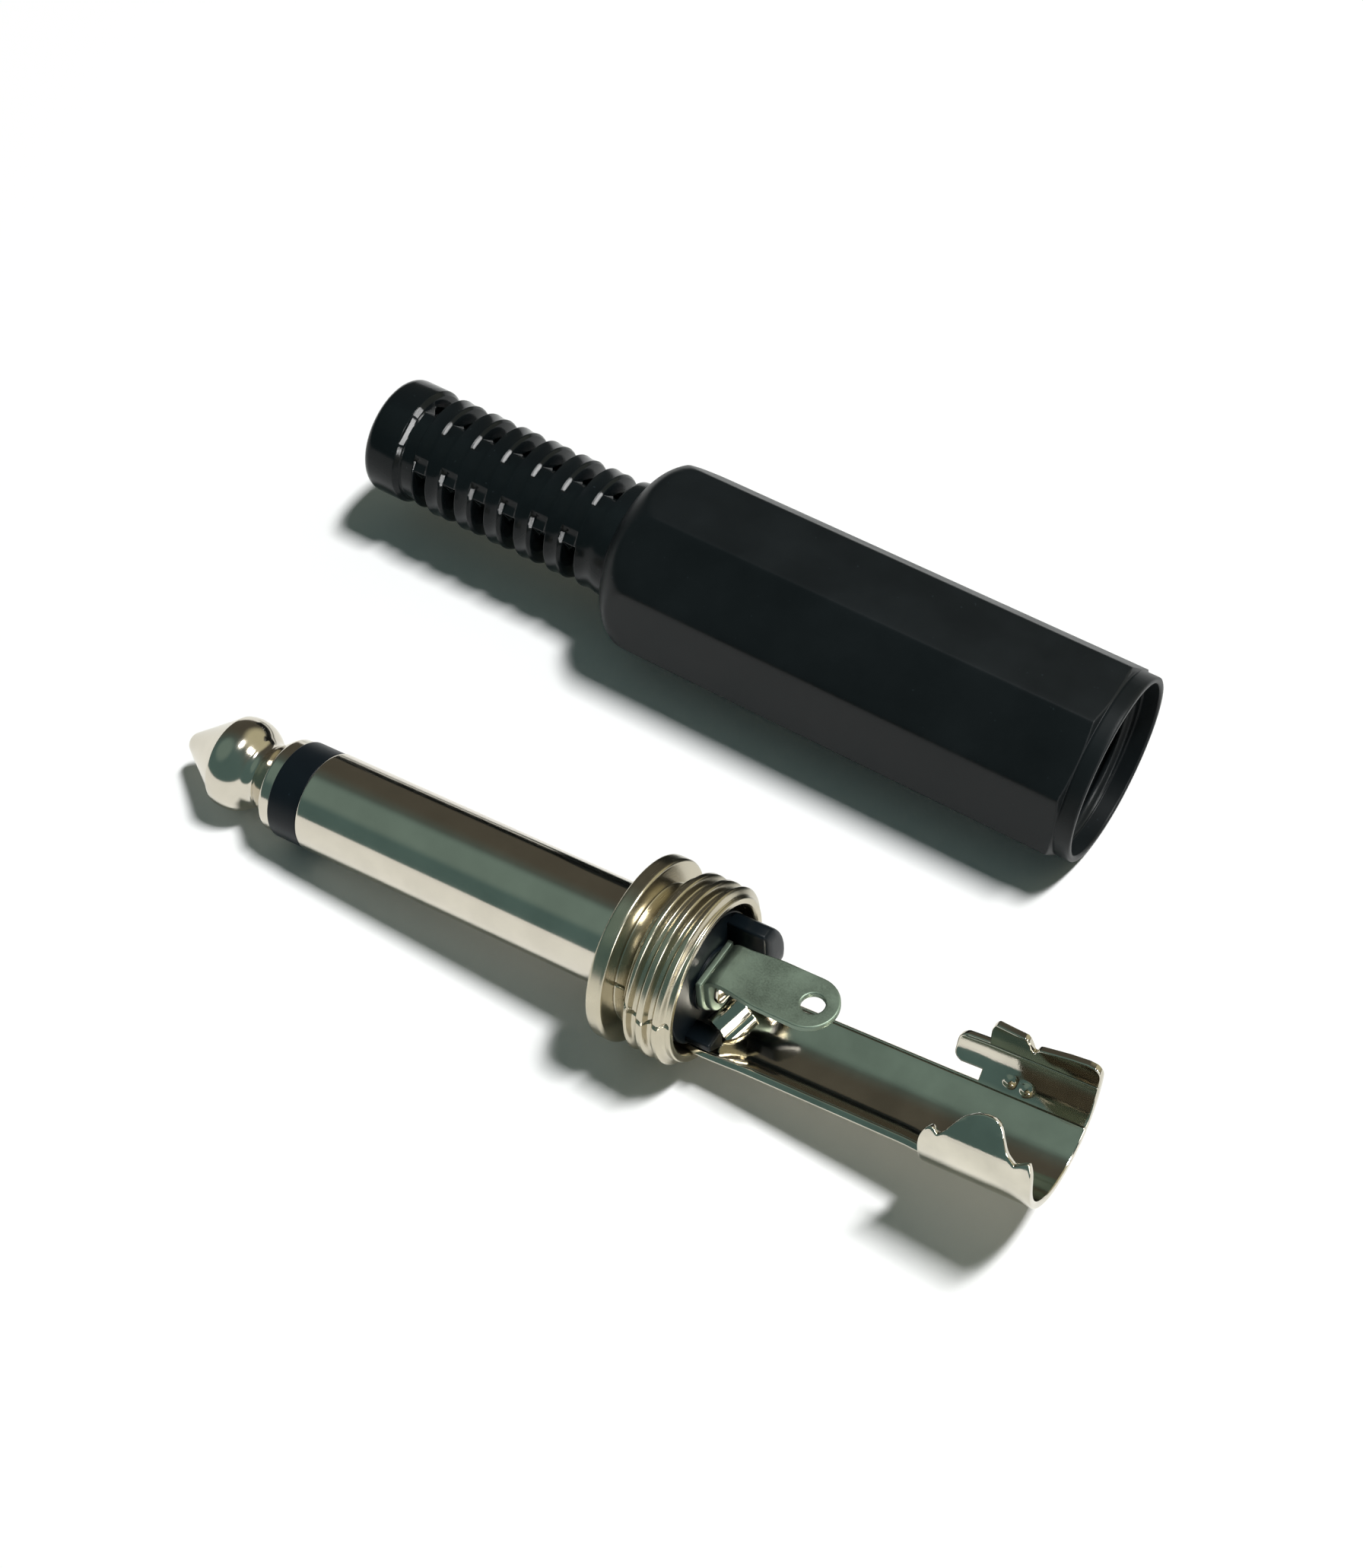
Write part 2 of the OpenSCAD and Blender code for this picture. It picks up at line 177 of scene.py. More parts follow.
class Finishes(bpy.types.PropertyGroup):
    """Colours and gloss of the finishes"""
    nickel: colour("Nickel", "Polished nickel plate of tip and sleeve", "#d6cfc0")
    nickel_rough: factor("Nickel roughness", "Roughness of the polished plate", 0.12)
    satin: colour("Satin nickel", "Warmer satin plate of the collar", "#c6bea9")
    satin_rough: factor("Satin roughness", "Roughness of the collar's plate", 0.24)
    tinned: colour("Tinned sheet", "Dull tinned sheet of lug and washer", "#808f80")
    tinned_rough: factor("Tinned roughness", "Roughness of the tinned sheet", 0.5)
    sheet: colour("Nickel sheet", "Bright sheet of the cable clamp", "#d8d2c2")
    sheet_rough: factor("Sheet roughness", "Roughness of the clamp's sheet", 0.08)
    plastic: colour("Black plastic", "Moulded plastic of the handle", "#13181a")
    plastic_rough: factor("Barrel roughness", "Roughness of the barrel", 0.42)
    boot_rough: factor("Boot roughness", "Roughness of the boot", 0.17)
    insulator: colour("Insulator", "Black insulating plastic of the plug", "#0f161b")
    insulator_rough: factor("Insulator roughness", "Roughness of the insulators", 0.36)


class StageSettings(bpy.types.PropertyGroup):
    """Camera, floor and light"""
    eye: bpy.props.FloatVectorProperty(name="Camera", description="Place of the camera", size=3,
                                       subtype="TRANSLATION", unit="LENGTH",
                                       default=(0.04868, -0.081338, 0.119736))
    azimuth: angle("Azimuth", "Direction of view, from along Y towards minus X", 31.322)
    elevation: angle("Elevation", "Height of the camera above the horizon", 50.884)
    roll: angle("Roll", "Turn of the camera about its view", 1.501)
    lens: bpy.props.FloatProperty(name="Lens", description="Focal length in millimetres for a 36 mm sensor",
                                  default=56.1, min=1)
    floor: colour("Floor", "Plain pale floor", "#ffffff")
    ambient: factor("Ambient", "Strength of the room's light on dull surfaces", 0.5, 4.0)
    overhead: factor("Overhead lamp", "Light of the overhead panel at the floor", 0.95, 4.0)
    side: factor("Side card", "Light of the tall card on the right at the floor", 0.12, 4.0)
    glint: factor("Glint card", "Light of the high card on the right at the floor", 0.3, 4.0)
    spark: factor("Spark card", "Light of the small bright card on the right at the floor", 0.24, 4.0)
    low: factor("Low card", "Light of the low card on the right at the floor", 0.024, 4.0)


def in_mm(group):
    """Values of a property group with every length in millimetres."""
    scale = {"LENGTH": 1 / MM}
    return SimpleNamespace(**{key: getattr(group, key) * scale.get(item.unit, 1)
                              for key, item in group.bl_rna.properties.items()
                              if key not in ("rna_type", "name") and not getattr(item, "is_array", False)})


def plug_sizes(context):
    """Plug sizes with the stations and radii that follow from them, as in the solid model."""
    s = in_mm(context.scene.jack_plug)
    edge = 0.2
    s.edge = edge
    s.fit_gap = 0.03
    s.sleeve_r = s.sleeve_d / 2
    s.sleeve_bore_r = s.sleeve_r - s.sleeve_wall
    s.web_seat_r = s.sleeve_r - edge
    s.ring_r = s.sleeve_r - 0.05
    s.bulb_r = s.bulb_d / 2
    s.waist_r = s.waist_d / 2
    s.rod_r = s.rod_d / 2
    s.flange_r = s.flange_d / 2
    s.thread_r = s.flange_r - 0.15
    s.thread_root_r = s.thread_r - s.thread_depth
    s.collar_bore_r = s.thread_root_r - 0.5
    s.neck_r = s.neck_d / 2
    s.neck_bore_r = s.neck_r - 0.6
    s.sleeve_front = -s.sleeve_len
    s.ring_front = s.sleeve_front - s.ring_len
    s.nose_x = s.ring_front - s.tip_len
    s.thread_x = s.flange_len + s.neck_len
    s.collar_end = s.thread_x + s.thread_len
    s.bore_step = s.thread_x + edge
    s.roll_end = s.flange_len + 0.5
    s.insulator_end = s.collar_end - 0.4
    s.boss_end = s.collar_end - 0.25
    s.washer_end = s.boss_end + 0.35
    s.lug_foot_end = s.washer_end + s.lug_sheet
    s.peen_end = s.lug_foot_end + 0.5
    s.clamp_front = s.bore_step + 0.1
    s.ear_front = s.clamp_end - s.ear_len
    s.clamp_r = s.collar_bore_r - s.clamp_sheet / 2
    s.tongue_place = np.array([s.insulator_end + 0.7, 0, -2.3])
    return s


def handle_sizes(context):
    """Handle sizes with the stations and radii that follow from the collar that screws into it."""
    h = in_mm(context.scene.jack_handle)
    plug = plug_sizes(context)
    gap = 0.1
    h.barrel_r = HANDLE_ORIGIN[2] - HANDLE_LOW[2]
    h.corner_r = h.barrel_r / math.cos(math.radians(22.5))
    h.seat_r = plug.flange_r + gap
    h.seat_len = plug.flange_len + gap
    h.thread_low_r = plug.thread_root_r + gap
    h.thread_high_r = plug.thread_r + gap
    h.thread_pitch = plug.thread_pitch
    h.thread_end = -h.seat_len - 5 * h.thread_pitch
    h.boot_r = h.boot_d / 2
    h.cable_r = h.cable_d / 2
    h.barrel_front = h.boot_len - h.handle_len
    h.cavity_end = h.barrel_front + h.cavity_back
    h.bore_end = h.cavity_end - h.thread_low_r + h.cable_r
    h.slot_floor = h.cable_r - 0.35
    h.upper_turn = math.radians(45)
    h.lower_turn = math.radians(238)
    h.slot_bevel = 0.32
    h.bevel_slope = 0.84
    h.bevel_run_out = np.radians([15, 11])
    h.wave_depth = 0.16
    h.ring_groove = 0.42
    # Flats on the bevels of the upper slots, the lower slots and the end ring's groove
    h.flat_turns = np.radians([345.7, 304.5, 326.5])
    h.flat_halves = np.radians([7.7, 17.0, 16.0])
    first_slot = 3.4 - h.handle_len
    h.upper_slots = first_slot + h.slot_pitch * np.arange(h.slot_count)
    h.lower_slots = first_slot + h.slot_pitch * (np.arange(h.slot_count - 1) + 0.5)
    h.slot_half = h.slot_width / 2
    h.wall_draft = 0.03
    return h


# Shapes

NO_TRIANGLES = np.empty((0, 3), int)


def smooth_step(low, high, value):
    """Rises from 0 at low to 1 at high with level ends."""
    t = np.clip((value - low) / (high - low), 0, 1)
    return t * t * (3 - 2 * t)


def thread_wave(phase):
    """Height of a thread at a phase counted in turns: 0 in the groove, 1 on the crest, with soft flanks."""
    crest, flank = 0.4, 0.28
    return smooth_step(0, 1, (crest - np.abs(phase % 1 - 0.5)) / flank)


def around_axis(x, radius, a):
    """Points at station x and a radius on the lines at angle a around the axis: (x, r sin a, r cos a)."""
    return np.stack([x + 0 * a, radius * np.sin(a), radius * np.cos(a)], axis=-1).reshape(-1, 3)


def rounded_path(corners, closed, steps=5, support=0.05):
    """Path through corners (u, v, rounding): each corner becomes a parabola between the points at the
    rounding's distance on both sides, with one more point close by on each side to keep the straight
    parts flat in shading."""
    corner = np.array(corners, float)
    point = corner[:, :2]
    before = np.roll(point, 1, axis=0) - point
    after = np.roll(point, -1, axis=0) - point
    before_len = np.linalg.norm(before, axis=1)
    after_len = np.linalg.norm(after, axis=1)
    room = 0.46 * np.minimum(before_len, after_len)
    reach = np.minimum(corner[:, 2], room)
    aside = np.minimum(reach + support, 1.06 * room)
    to_before = before / before_len[:, None]
    to_after = after / after_len[:, None]
    t = np.linspace(0, 1, steps)[None, :, None]
    start = point + to_before * reach[:, None]
    end = point + to_after * reach[:, None]
    arc = (1 - t) ** 2 * start[:, None] + 2 * t * (1 - t) * point[:, None] + t ** 2 * end[:, None]
    lead = point + to_before * aside[:, None]
    tail = point + to_after * aside[:, None]
    path = np.concatenate([lead[:, None], arc, tail[:, None]], axis=1)
    if not closed:
        path[0] = point[0]
        path[-1] = point[-1]
    path = path.reshape(-1, 2)
    keep = np.ones(len(path), bool)
    keep[1:] = np.linalg.norm(np.diff(path, axis=0), axis=1) > 1e-6
    return path[keep]


def grid_faces(rows, columns, wrap_rows, wrap_columns):
    """Quads of a grid of points, in the order that faces outwards for a surface whose rows run along
    +X and whose columns turn from up towards +Y."""
    i = np.arange(rows if wrap_rows else rows - 1)[:, None]
    j = np.arange(columns if wrap_columns else columns - 1)[None, :]
    here = i * columns + j
    along = (i + 1) % rows * columns + j
    both = (i + 1) % rows * columns + (j + 1) % columns
    across = i * columns + (j + 1) % columns
    return np.stack([here, along, both, across], axis=-1)


def end_fans(rows, sides):
    """Triangles that close both ends of a tube of rows with a point each, numbered after its own points."""
    j = np.arange(sides)
    after = (j + 1) % sides
    first = rows * sides
    last_row = first - sides
    return np.concatenate([
        np.stack([np.full(sides, first), j, after], axis=-1),
        np.stack([np.full(sides, first + 1), last_row + after, last_row + j], axis=-1)])


def turned(profile, sides, capped):
    """Surface of revolution of a profile (x, r). A capped profile starts and ends on the axis, and any
    other one is a closed loop."""
    a = np.linspace(0, 2 * math.pi, sides, endpoint=False)
    rows = profile[1:-1] if capped else profile
    points = around_axis(rows[:, :1], rows[:, 1:], a)
    quads = grid_faces(len(rows), sides, not capped, True).reshape(-1, 4)
    if not capped:
        return points, quads, NO_TRIANGLES
    poles = np.array([[profile[0, 0], 0, 0], [profile[-1, 0], 0, 0]])
    return np.concatenate([points, poles]), quads, end_fans(len(rows), sides)


def joined(*shells):
    """One list of points, quads and triangles from several closed shells."""
    counts = np.cumsum([0] + [len(points) for points, _, _ in shells])
    points = np.concatenate([shell[0] for shell in shells])
    quads = np.concatenate([shell[1] + start for shell, start in zip(shells, counts)])
    triangles = np.concatenate([shell[2] + start for shell, start in zip(shells, counts)])
    return points, quads, triangles


def rounded_bar(outline, x_from, x_to, rounding):
    """Bar along X with the given outline in (y, z), seen from its end and running clockwise: near the
    end the outline shrinks towards its middle along a quarter circle, and a point closes it."""
    turn = np.radians(np.linspace(0, 90, 6))
    x = np.concatenate([[x_from], x_to - rounding + rounding * np.sin(turn)])
    inset = np.concatenate([[0], rounding * (1 - np.cos(turn))])
    middle = outline.mean(axis=0)
    size = np.linalg.norm(outline - middle, axis=1).min()
    scale = (1 - inset / size)[:, None, None]
    section = middle + (outline - middle) * scale
    rows, sides = section.shape[:2]
    points = np.concatenate([np.broadcast_to(x[:, None, None], (rows, sides, 1)), section], axis=-1)
    quads = grid_faces(rows, sides, False, True).reshape(-1, 4)
    poles = np.array([[x_from, *middle], [x_to, *middle]])
    return np.concatenate([points.reshape(-1, 3), poles]), quads, end_fans(rows, sides)


def thick_sheet(points, quads, thickness, rounding):
    """Closed sheet about a middle surface: both faces lie half the thickness away along the surface's
    normals, and a rim with quarter-round corners joins them along every open edge."""
    count = len(points)
    corner = points[quads]
    face_normal = np.cross(corner[:, 2] - corner[:, 0], corner[:, 3] - corner[:, 1])
    normal = np.zeros_like(points)
    np.add.at(normal, quads, face_normal[:, None, :])
    normal /= np.linalg.norm(normal, axis=1)[:, None]
    edges = np.stack([quads, np.roll(quads, -1, axis=1)], axis=-1).reshape(-1, 2)
    open_edge = ~np.isin(edges[:, 0] * count + edges[:, 1], edges[:, 1] * count + edges[:, 0])
    rim = edges[open_edge]
    outward = np.cross(points[rim[:, 1]] - points[rim[:, 0]], normal[rim[:, 0]])
    outward /= np.linalg.norm(outward, axis=1)[:, None]
    away = np.zeros_like(points)
    np.add.at(away, rim, outward[:, None, :])
    ids = np.unique(rim)
    away = away[ids]
    away *= 2 / np.maximum((away ** 2).sum(axis=1), 1.2)[:, None]
    turn = np.radians([65, 40, 18, 0])
    height = thickness / 2 - rounding + rounding * np.sin(turn)
    height = np.concatenate([height, -height[::-1]])
    reach = rounding * np.cos(turn)
    reach = np.concatenate([reach, reach[::-1]])
    side = points[ids] + normal[ids] * height[:, None, None] + away * reach[:, None, None]
    place = np.zeros(count, int)
    place[ids] = np.arange(len(ids))
    rows = 2 * count + np.arange(len(height))[:, None] * len(ids) + place[rim.T][:, None, :]
    start = np.concatenate([rim[None, :, 0], rows[0], rim[None, :, 0] + count])
    end = np.concatenate([rim[None, :, 1], rows[1], rim[None, :, 1] + count])
    rim_quads = np.stack([end[:-1], start[:-1], start[1:], end[1:]], axis=-1).reshape(-1, 4)
    half = normal * thickness / 2
    solid = np.concatenate([points + half, points - half, side.reshape(-1, 3)])
    return solid, np.concatenate([quads, quads[:, ::-1] + count, rim_quads]), NO_TRIANGLES


def welded(points, quads):
    """The same quads with points at the same place made one."""
    _, first, inverse = np.unique(np.round(points, 5), axis=0, return_index=True, return_inverse=True)
    return points[first], inverse.reshape(-1)[quads]


def holed_plate(outline, centre, hole_r, shares):
    """Flat plate between a hole and an outline: each outline point is joined to the hole's point in the
    same direction, and the shares place the lines between them."""
    direction = outline - centre
    direction /= np.linalg.norm(direction, axis=1)[:, None]
    hole = centre + hole_r * direction
    rows = hole[None] + (outline - hole)[None] * shares[:, None, None]
    return rows.reshape(-1, 2), grid_faces(len(shares), len(outline), False, True).reshape(-1, 4)


def tip_profile(s):
    """Outline of the tip contact: a round nose, a cone that meets the bulb at a crease, a waist that
    shares a tangent with the bulb, a flared shoulder and the thin rod with its peened end."""
    centre_r = s.bulb_r - s.bulb_round
    cone_len = (centre_r + s.bulb_round * math.cos(s.crease_angle)
                - s.nose_r * math.cos(s.cone_angle)) / math.tan(s.cone_angle)
    bulb_x = (s.nose_x + s.nose_r * (1 - math.sin(s.cone_angle)) + cone_len
              + s.bulb_round * math.sin(s.crease_angle))
    back = math.acos((s.waist_r + s.waist_round - centre_r) / (s.bulb_round + s.waist_round))
    waist_x = bulb_x + (s.bulb_round + s.waist_round) * math.sin(back)
    flare_rise = s.bulb_r - s.waist_r - s.waist_round * (1 - math.cos(s.flare_angle))
    shoulder_x = waist_x + s.waist_round * math.sin(s.flare_angle) + flare_rise / math.tan(s.flare_angle)
    a = np.linspace(math.pi / 2, s.cone_angle, 14)
    nose = np.stack([s.nose_x + s.nose_r * (1 - np.sin(a)), s.nose_r * np.cos(a)], axis=-1)
    nose[0, 1] = 0
    a = np.linspace(-s.crease_angle, back, 34)
    bulb = np.stack([bulb_x + s.bulb_round * np.sin(a), centre_r + s.bulb_round * np.cos(a)], axis=-1)
    share = np.array([0.05, 0.35, 0.65, 0.975])[:, None]
    cone = nose[-1] * (1 - share) + bulb[0] * share
    a = np.linspace(back, -s.flare_angle, 18)[1:]
    waist = np.stack([waist_x - s.waist_round * np.sin(a),
                      s.waist_r + s.waist_round * (1 - np.cos(a))], axis=-1)
    peen_r = s.rod_r + 0.15
    rear = rounded_path([(*waist[-1], 0), (shoulder_x, s.bulb_r, 0.1), (s.ring_front, s.bulb_r, 0.06),
                         (s.ring_front, s.rod_r, 0), (s.lug_foot_end, s.rod_r, 0),
                         (s.lug_foot_end, peen_r, 0.02), (s.lug_foot_end + 0.22, peen_r, 0.12),
                         (s.peen_end - 0.03, 0.55, 0.2), (s.peen_end, 0, 0)], False)
    return np.concatenate([nose, cone, bulb, waist, rear[1:]])


def sleeve_profile(s):
    """Outline of the sleeve tube with its eased front edge and the rolled rear end in the collar."""
    roll_r = s.neck_bore_r - s.fit_gap
    return rounded_path([(s.sleeve_front, s.sleeve_bore_r, 0.02), (s.sleeve_front, s.sleeve_r, 0.12),
                         (0, s.sleeve_r, 0.03), (0, s.web_seat_r, 0.02), (s.flange_len, s.web_seat_r, 0.02),
                         (s.flange_len, roll_r, 0.05), (s.roll_end, roll_r, 0.05),
                         (s.roll_end, s.sleeve_bore_r, 0.05)], True)


def tip_insulator_profile(s):
    """Outline of the insulating ring with the spigot that sits in the sleeve."""
    bore_r = s.rod_r + s.fit_gap
    spigot_r = s.sleeve_bore_r - s.fit_gap
    spigot_end = s.sleeve_front + 3
    return rounded_path([(s.ring_front, bore_r, 0.02), (s.ring_front, s.ring_r, 0.09),
                         (s.sleeve_front, s.ring_r, 0.07), (s.sleeve_front, spigot_r, 0.02),
                         (spigot_end, spigot_r, 0.05), (spigot_end, bore_r, 0.02)], True)


def collar_shell(s):
    """Collar turned from its outline, whose thread is a wave of x / pitch - angle / turn that fades at both
    ends, with a narrow ragged seam down the near side of neck and thread."""
    seam_at = math.radians(-76.5)
    seam_half = math.radians(0.9)
    seam_depth = 0.22
    outside = rounded_path([(0, s.web_seat_r, 0), (0, s.flange_r, 0.2), (s.flange_len, s.flange_r, 0.2),
                            (s.flange_len, s.neck_r, 0.1), (s.thread_x, s.neck_r, 0)], False)
    ridge_x = np.linspace(s.thread_x, s.collar_end - 0.12, 56)
    ridge = np.stack([ridge_x, np.full(len(ridge_x), s.thread_root_r)], axis=-1)
    inside = rounded_path([(s.collar_end - 0.06, s.thread_root_r, 0),
                           (s.collar_end, s.thread_root_r - 0.08, 0.03),
                           (s.collar_end, s.collar_bore_r + 0.12, 0.05),
                           (s.collar_end - s.edge, s.collar_bore_r, 0.08),
                           (s.bore_step, s.collar_bore_r, 0.05), (s.bore_step, s.neck_bore_r, 0.03),
                           (s.flange_len, s.neck_bore_r, 0.02), (s.flange_len, s.web_seat_r, 0)], False)
    profile = np.concatenate([outside, ridge, inside])
    x, r = profile[:, :1], profile[:, 1:]
    row = np.arange(len(profile))[:, None]
    ridge_end = len(outside) + len(ridge)
    fine = seam_at + np.radians(np.linspace(-14, 14, 57))
    even = np.linspace(fine[-1], fine[0] + 2 * math.pi, 190)[1:-1]
    a = np.concatenate([fine, even])
    fade = smooth_step(s.thread_x + 0.02, s.thread_x + 0.4, x)
    fade = fade * (1 - smooth_step(s.collar_end - 0.45, s.collar_end - 0.12, x))
    wave = thread_wave((x - s.thread_x) / s.thread_pitch - a / (2 * math.pi))
    on_thread = (row >= len(outside)) & (row < ridge_end)
    radius = r + on_thread * fade * wave * s.thread_depth
    # The seam steps aside between neck and thread and wanders a little on its way
    wander = np.radians(8 - 8 * smooth_step(2.3, 2.7, x) + 1.5 * np.sin(3.1 * x) + np.sin(7.7 * x + 1.0))
    offset = (a - seam_at + math.pi) % (2 * math.pi) - math.pi - wander
    on_seam = (row < ridge_end) & (x > s.flange_len + 0.05)
    radius = radius - on_seam * seam_depth * np.exp(-(offset / seam_half) ** 2)
    quads = grid_faces(len(profile), len(a), True, True).reshape(-1, 4)
    return around_axis(x, radius, a), quads, NO_TRIANGLES


def rear_insulator_shells(s):
    """Disc with the boss that carries the lug, a post beside the lug and a low ledge under it."""
    bore_r = s.rod_r + s.fit_gap
    seat_r = s.neck_bore_r - s.fit_gap
    boss_r = s.lug_width / 2 + 0.1
    disc_r = s.collar_bore_r - s.clamp_sheet - 0.02
    disc = turned(rounded_path([
        (s.roll_end, bore_r, 0.02), (s.roll_end, seat_r, 0.05),
        (s.bore_step, seat_r, 0.02), (s.bore_step, disc_r, 0.02),
        (s.insulator_end, disc_r, 0.12), (s.insulator_end, boss_r, 0.05), (s.boss_end, boss_r, 0.06),
        (s.boss_end, bore_r, 0.02)], True), 120, False)
    inner_r = s.collar_bore_r - s.clamp_sheet - 0.1
    lean = np.radians(np.linspace(105, 46, 7))
    rim = [(inner_r * math.sin(a), inner_r * math.cos(a), 0.2) for a in lean]
    post_side = s.lug_width / 2 + 0.2
    post_top, post_foot, post_len = 2.8, -1.0, 2.2
    post = rounded_path([(post_side, post_top, 0.2), *rim[::-1], (post_side, post_foot, 0.25)], True)
    ledge_outer, ledge_inner, ledge_top, ledge_len = -3.0, -1.6, -2.0, 1.2
    outer_foot, inner_foot = -2.5, -3.55
    ledge = rounded_path([(ledge_outer, ledge_top, 0.12), (ledge_inner, ledge_top, 0.12),
                          (ledge_inner, inner_foot, 0.12), (ledge_outer, outer_foot, 0.12)], True)
    root = s.insulator_end - 0.1
    return joined(disc, rounded_bar(post, root, s.collar_end + post_len, 0.3),
                  rounded_bar(ledge, root, s.collar_end + ledge_len, 0.15))


def lug_shell(s):
    """Lug sheet: a plate with two round ends and two holes, laid out flat as (along, across), then bent
    at a right angle so that the foot stands on the rod and the tongue runs back along the plug."""
    rim = 0.08
    half = s.lug_width / 2 - rim
    middle_x = s.washer_end + s.lug_sheet / 2
    bend_r = 1.5 * s.lug_sheet
    tongue_z = s.lug_height - s.lug_sheet / 2
    bend_from = tongue_z - bend_r
    bend_to = bend_from + bend_r * math.pi / 2
    along_to_x = middle_x + bend_r - bend_to
    end_at = s.lug_end - s.lug_width - along_to_x + half
    eye_at = end_at + 0.3
    across = np.concatenate([[-half], np.linspace(-half + 0.06, half - 0.06, 11), [half]])
    shares = np.array([0, 0.06, 0.25, 0.5, 0.75, 0.94, 1])

    def end_outline(middle, join, sign):
        """Outline of one end: the joining line, a side, the half round and the other side."""
        turn = np.radians(np.linspace(-90, 90, 29))
        round_end = np.stack([middle + sign * half * np.cos(turn), sign * half * np.sin(turn)], axis=-1)
        line = np.stack([np.full(len(across), join), -sign * across[::-1]], axis=-1)
        side = np.linspace(join, middle, 7)[1:-1]
        first = np.stack([side, np.full(len(side), -sign * half)], axis=-1)
        last = np.stack([side[::-1], np.full(len(side), sign * half)], axis=-1)
        return np.concatenate([line[::-1], first, round_end, last])

    foot_join = bend_from - 0.05
    eye_join = eye_at - 1.5
    foot, foot_quads = holed_plate(end_outline(0, foot_join, -1), np.array([0.0, 0.0]),
                                   s.rod_r + rim, shares)
    eye, eye_quads = holed_plate(end_outline(end_at, eye_join, 1), np.array([eye_at, 0.0]),
                                 s.eye_d / 2 + rim, shares)
    past_bend = bend_to + 0.1
    along = np.concatenate([np.linspace(foot_join, past_bend, 16),
                            np.linspace(past_bend, eye_join, 14)[1:]])
    strip = np.stack(np.meshgrid(along, across, indexing="ij"), axis=-1).reshape(-1, 2)
    strip_quads = grid_faces(len(along), len(across), False, False).reshape(-1, 4)
    flat = np.concatenate([foot, eye, strip])
    quads = np.concatenate([foot_quads, eye_quads + len(foot), strip_quads + len(foot) + len(eye)])
    flat, quads = welded(flat, quads)
    t = np.clip((flat[:, 0] - bend_from) / bend_r, 0, math.pi / 2)
    beyond = np.maximum(flat[:, 0] - bend_to, 0)
    x = middle_x + bend_r * (1 - np.cos(t)) + beyond
    z = np.minimum(flat[:, 0], bend_from) + bend_r * np.sin(t)
    # The tongue sags a little along its length, dishes across it and is slimmer next to the bend
    sag_depth, sag_len, dish_depth, slimming = 0.05, 7.0, 0.02, 0.15
    sag = sag_depth * np.sin(math.pi * np.clip(beyond / sag_len, 0, 1))
    dish = dish_depth * (flat[:, 1] / half) ** 2 * (beyond > 0)
    slimmer = 1 - slimming * (1 - smooth_step(0.2, 2.8, beyond))
    points = np.stack([x, slimmer * flat[:, 1], z - (sag - dish)], axis=-1)
    return thick_sheet(points, quads, s.lug_sheet, rim)


def washer_shell(s):
    """Washer under the lug's foot: round below and square above, with the rod's hole."""
    rim = 0.06
    half = s.lug_width / 2 - rim
    top = s.lug_height - s.lug_sheet - 0.08
    turn = np.radians(np.linspace(180, 360, 41))
    below = np.stack([half * np.cos(turn), half * np.sin(turn)], axis=-1)
    rise = np.linspace(0, top, 9)[1:]
    right = np.stack([np.full(len(rise), half), rise], axis=-1)
    across = np.linspace(half, -half, 21)[1:]
    over = np.stack([across, np.full(len(across), top)], axis=-1)
    left = np.stack([np.full(len(rise) - 1, -half), rise[::-1][1:]], axis=-1)
    outline = np.concatenate([below, right, over, left])[::-1]
    flat, quads = holed_plate(outline, np.array([0.0, 0.0]), s.rod_r + rim,
                              np.array([0, 0.06, 0.5, 0.94, 1]))
    x = (s.boss_end + s.washer_end) / 2
    points = np.stack([np.full(len(flat), x), flat[:, 0], flat[:, 1]], axis=-1)
    return thick_sheet(points, quads, s.washer_end - s.boss_end, rim)


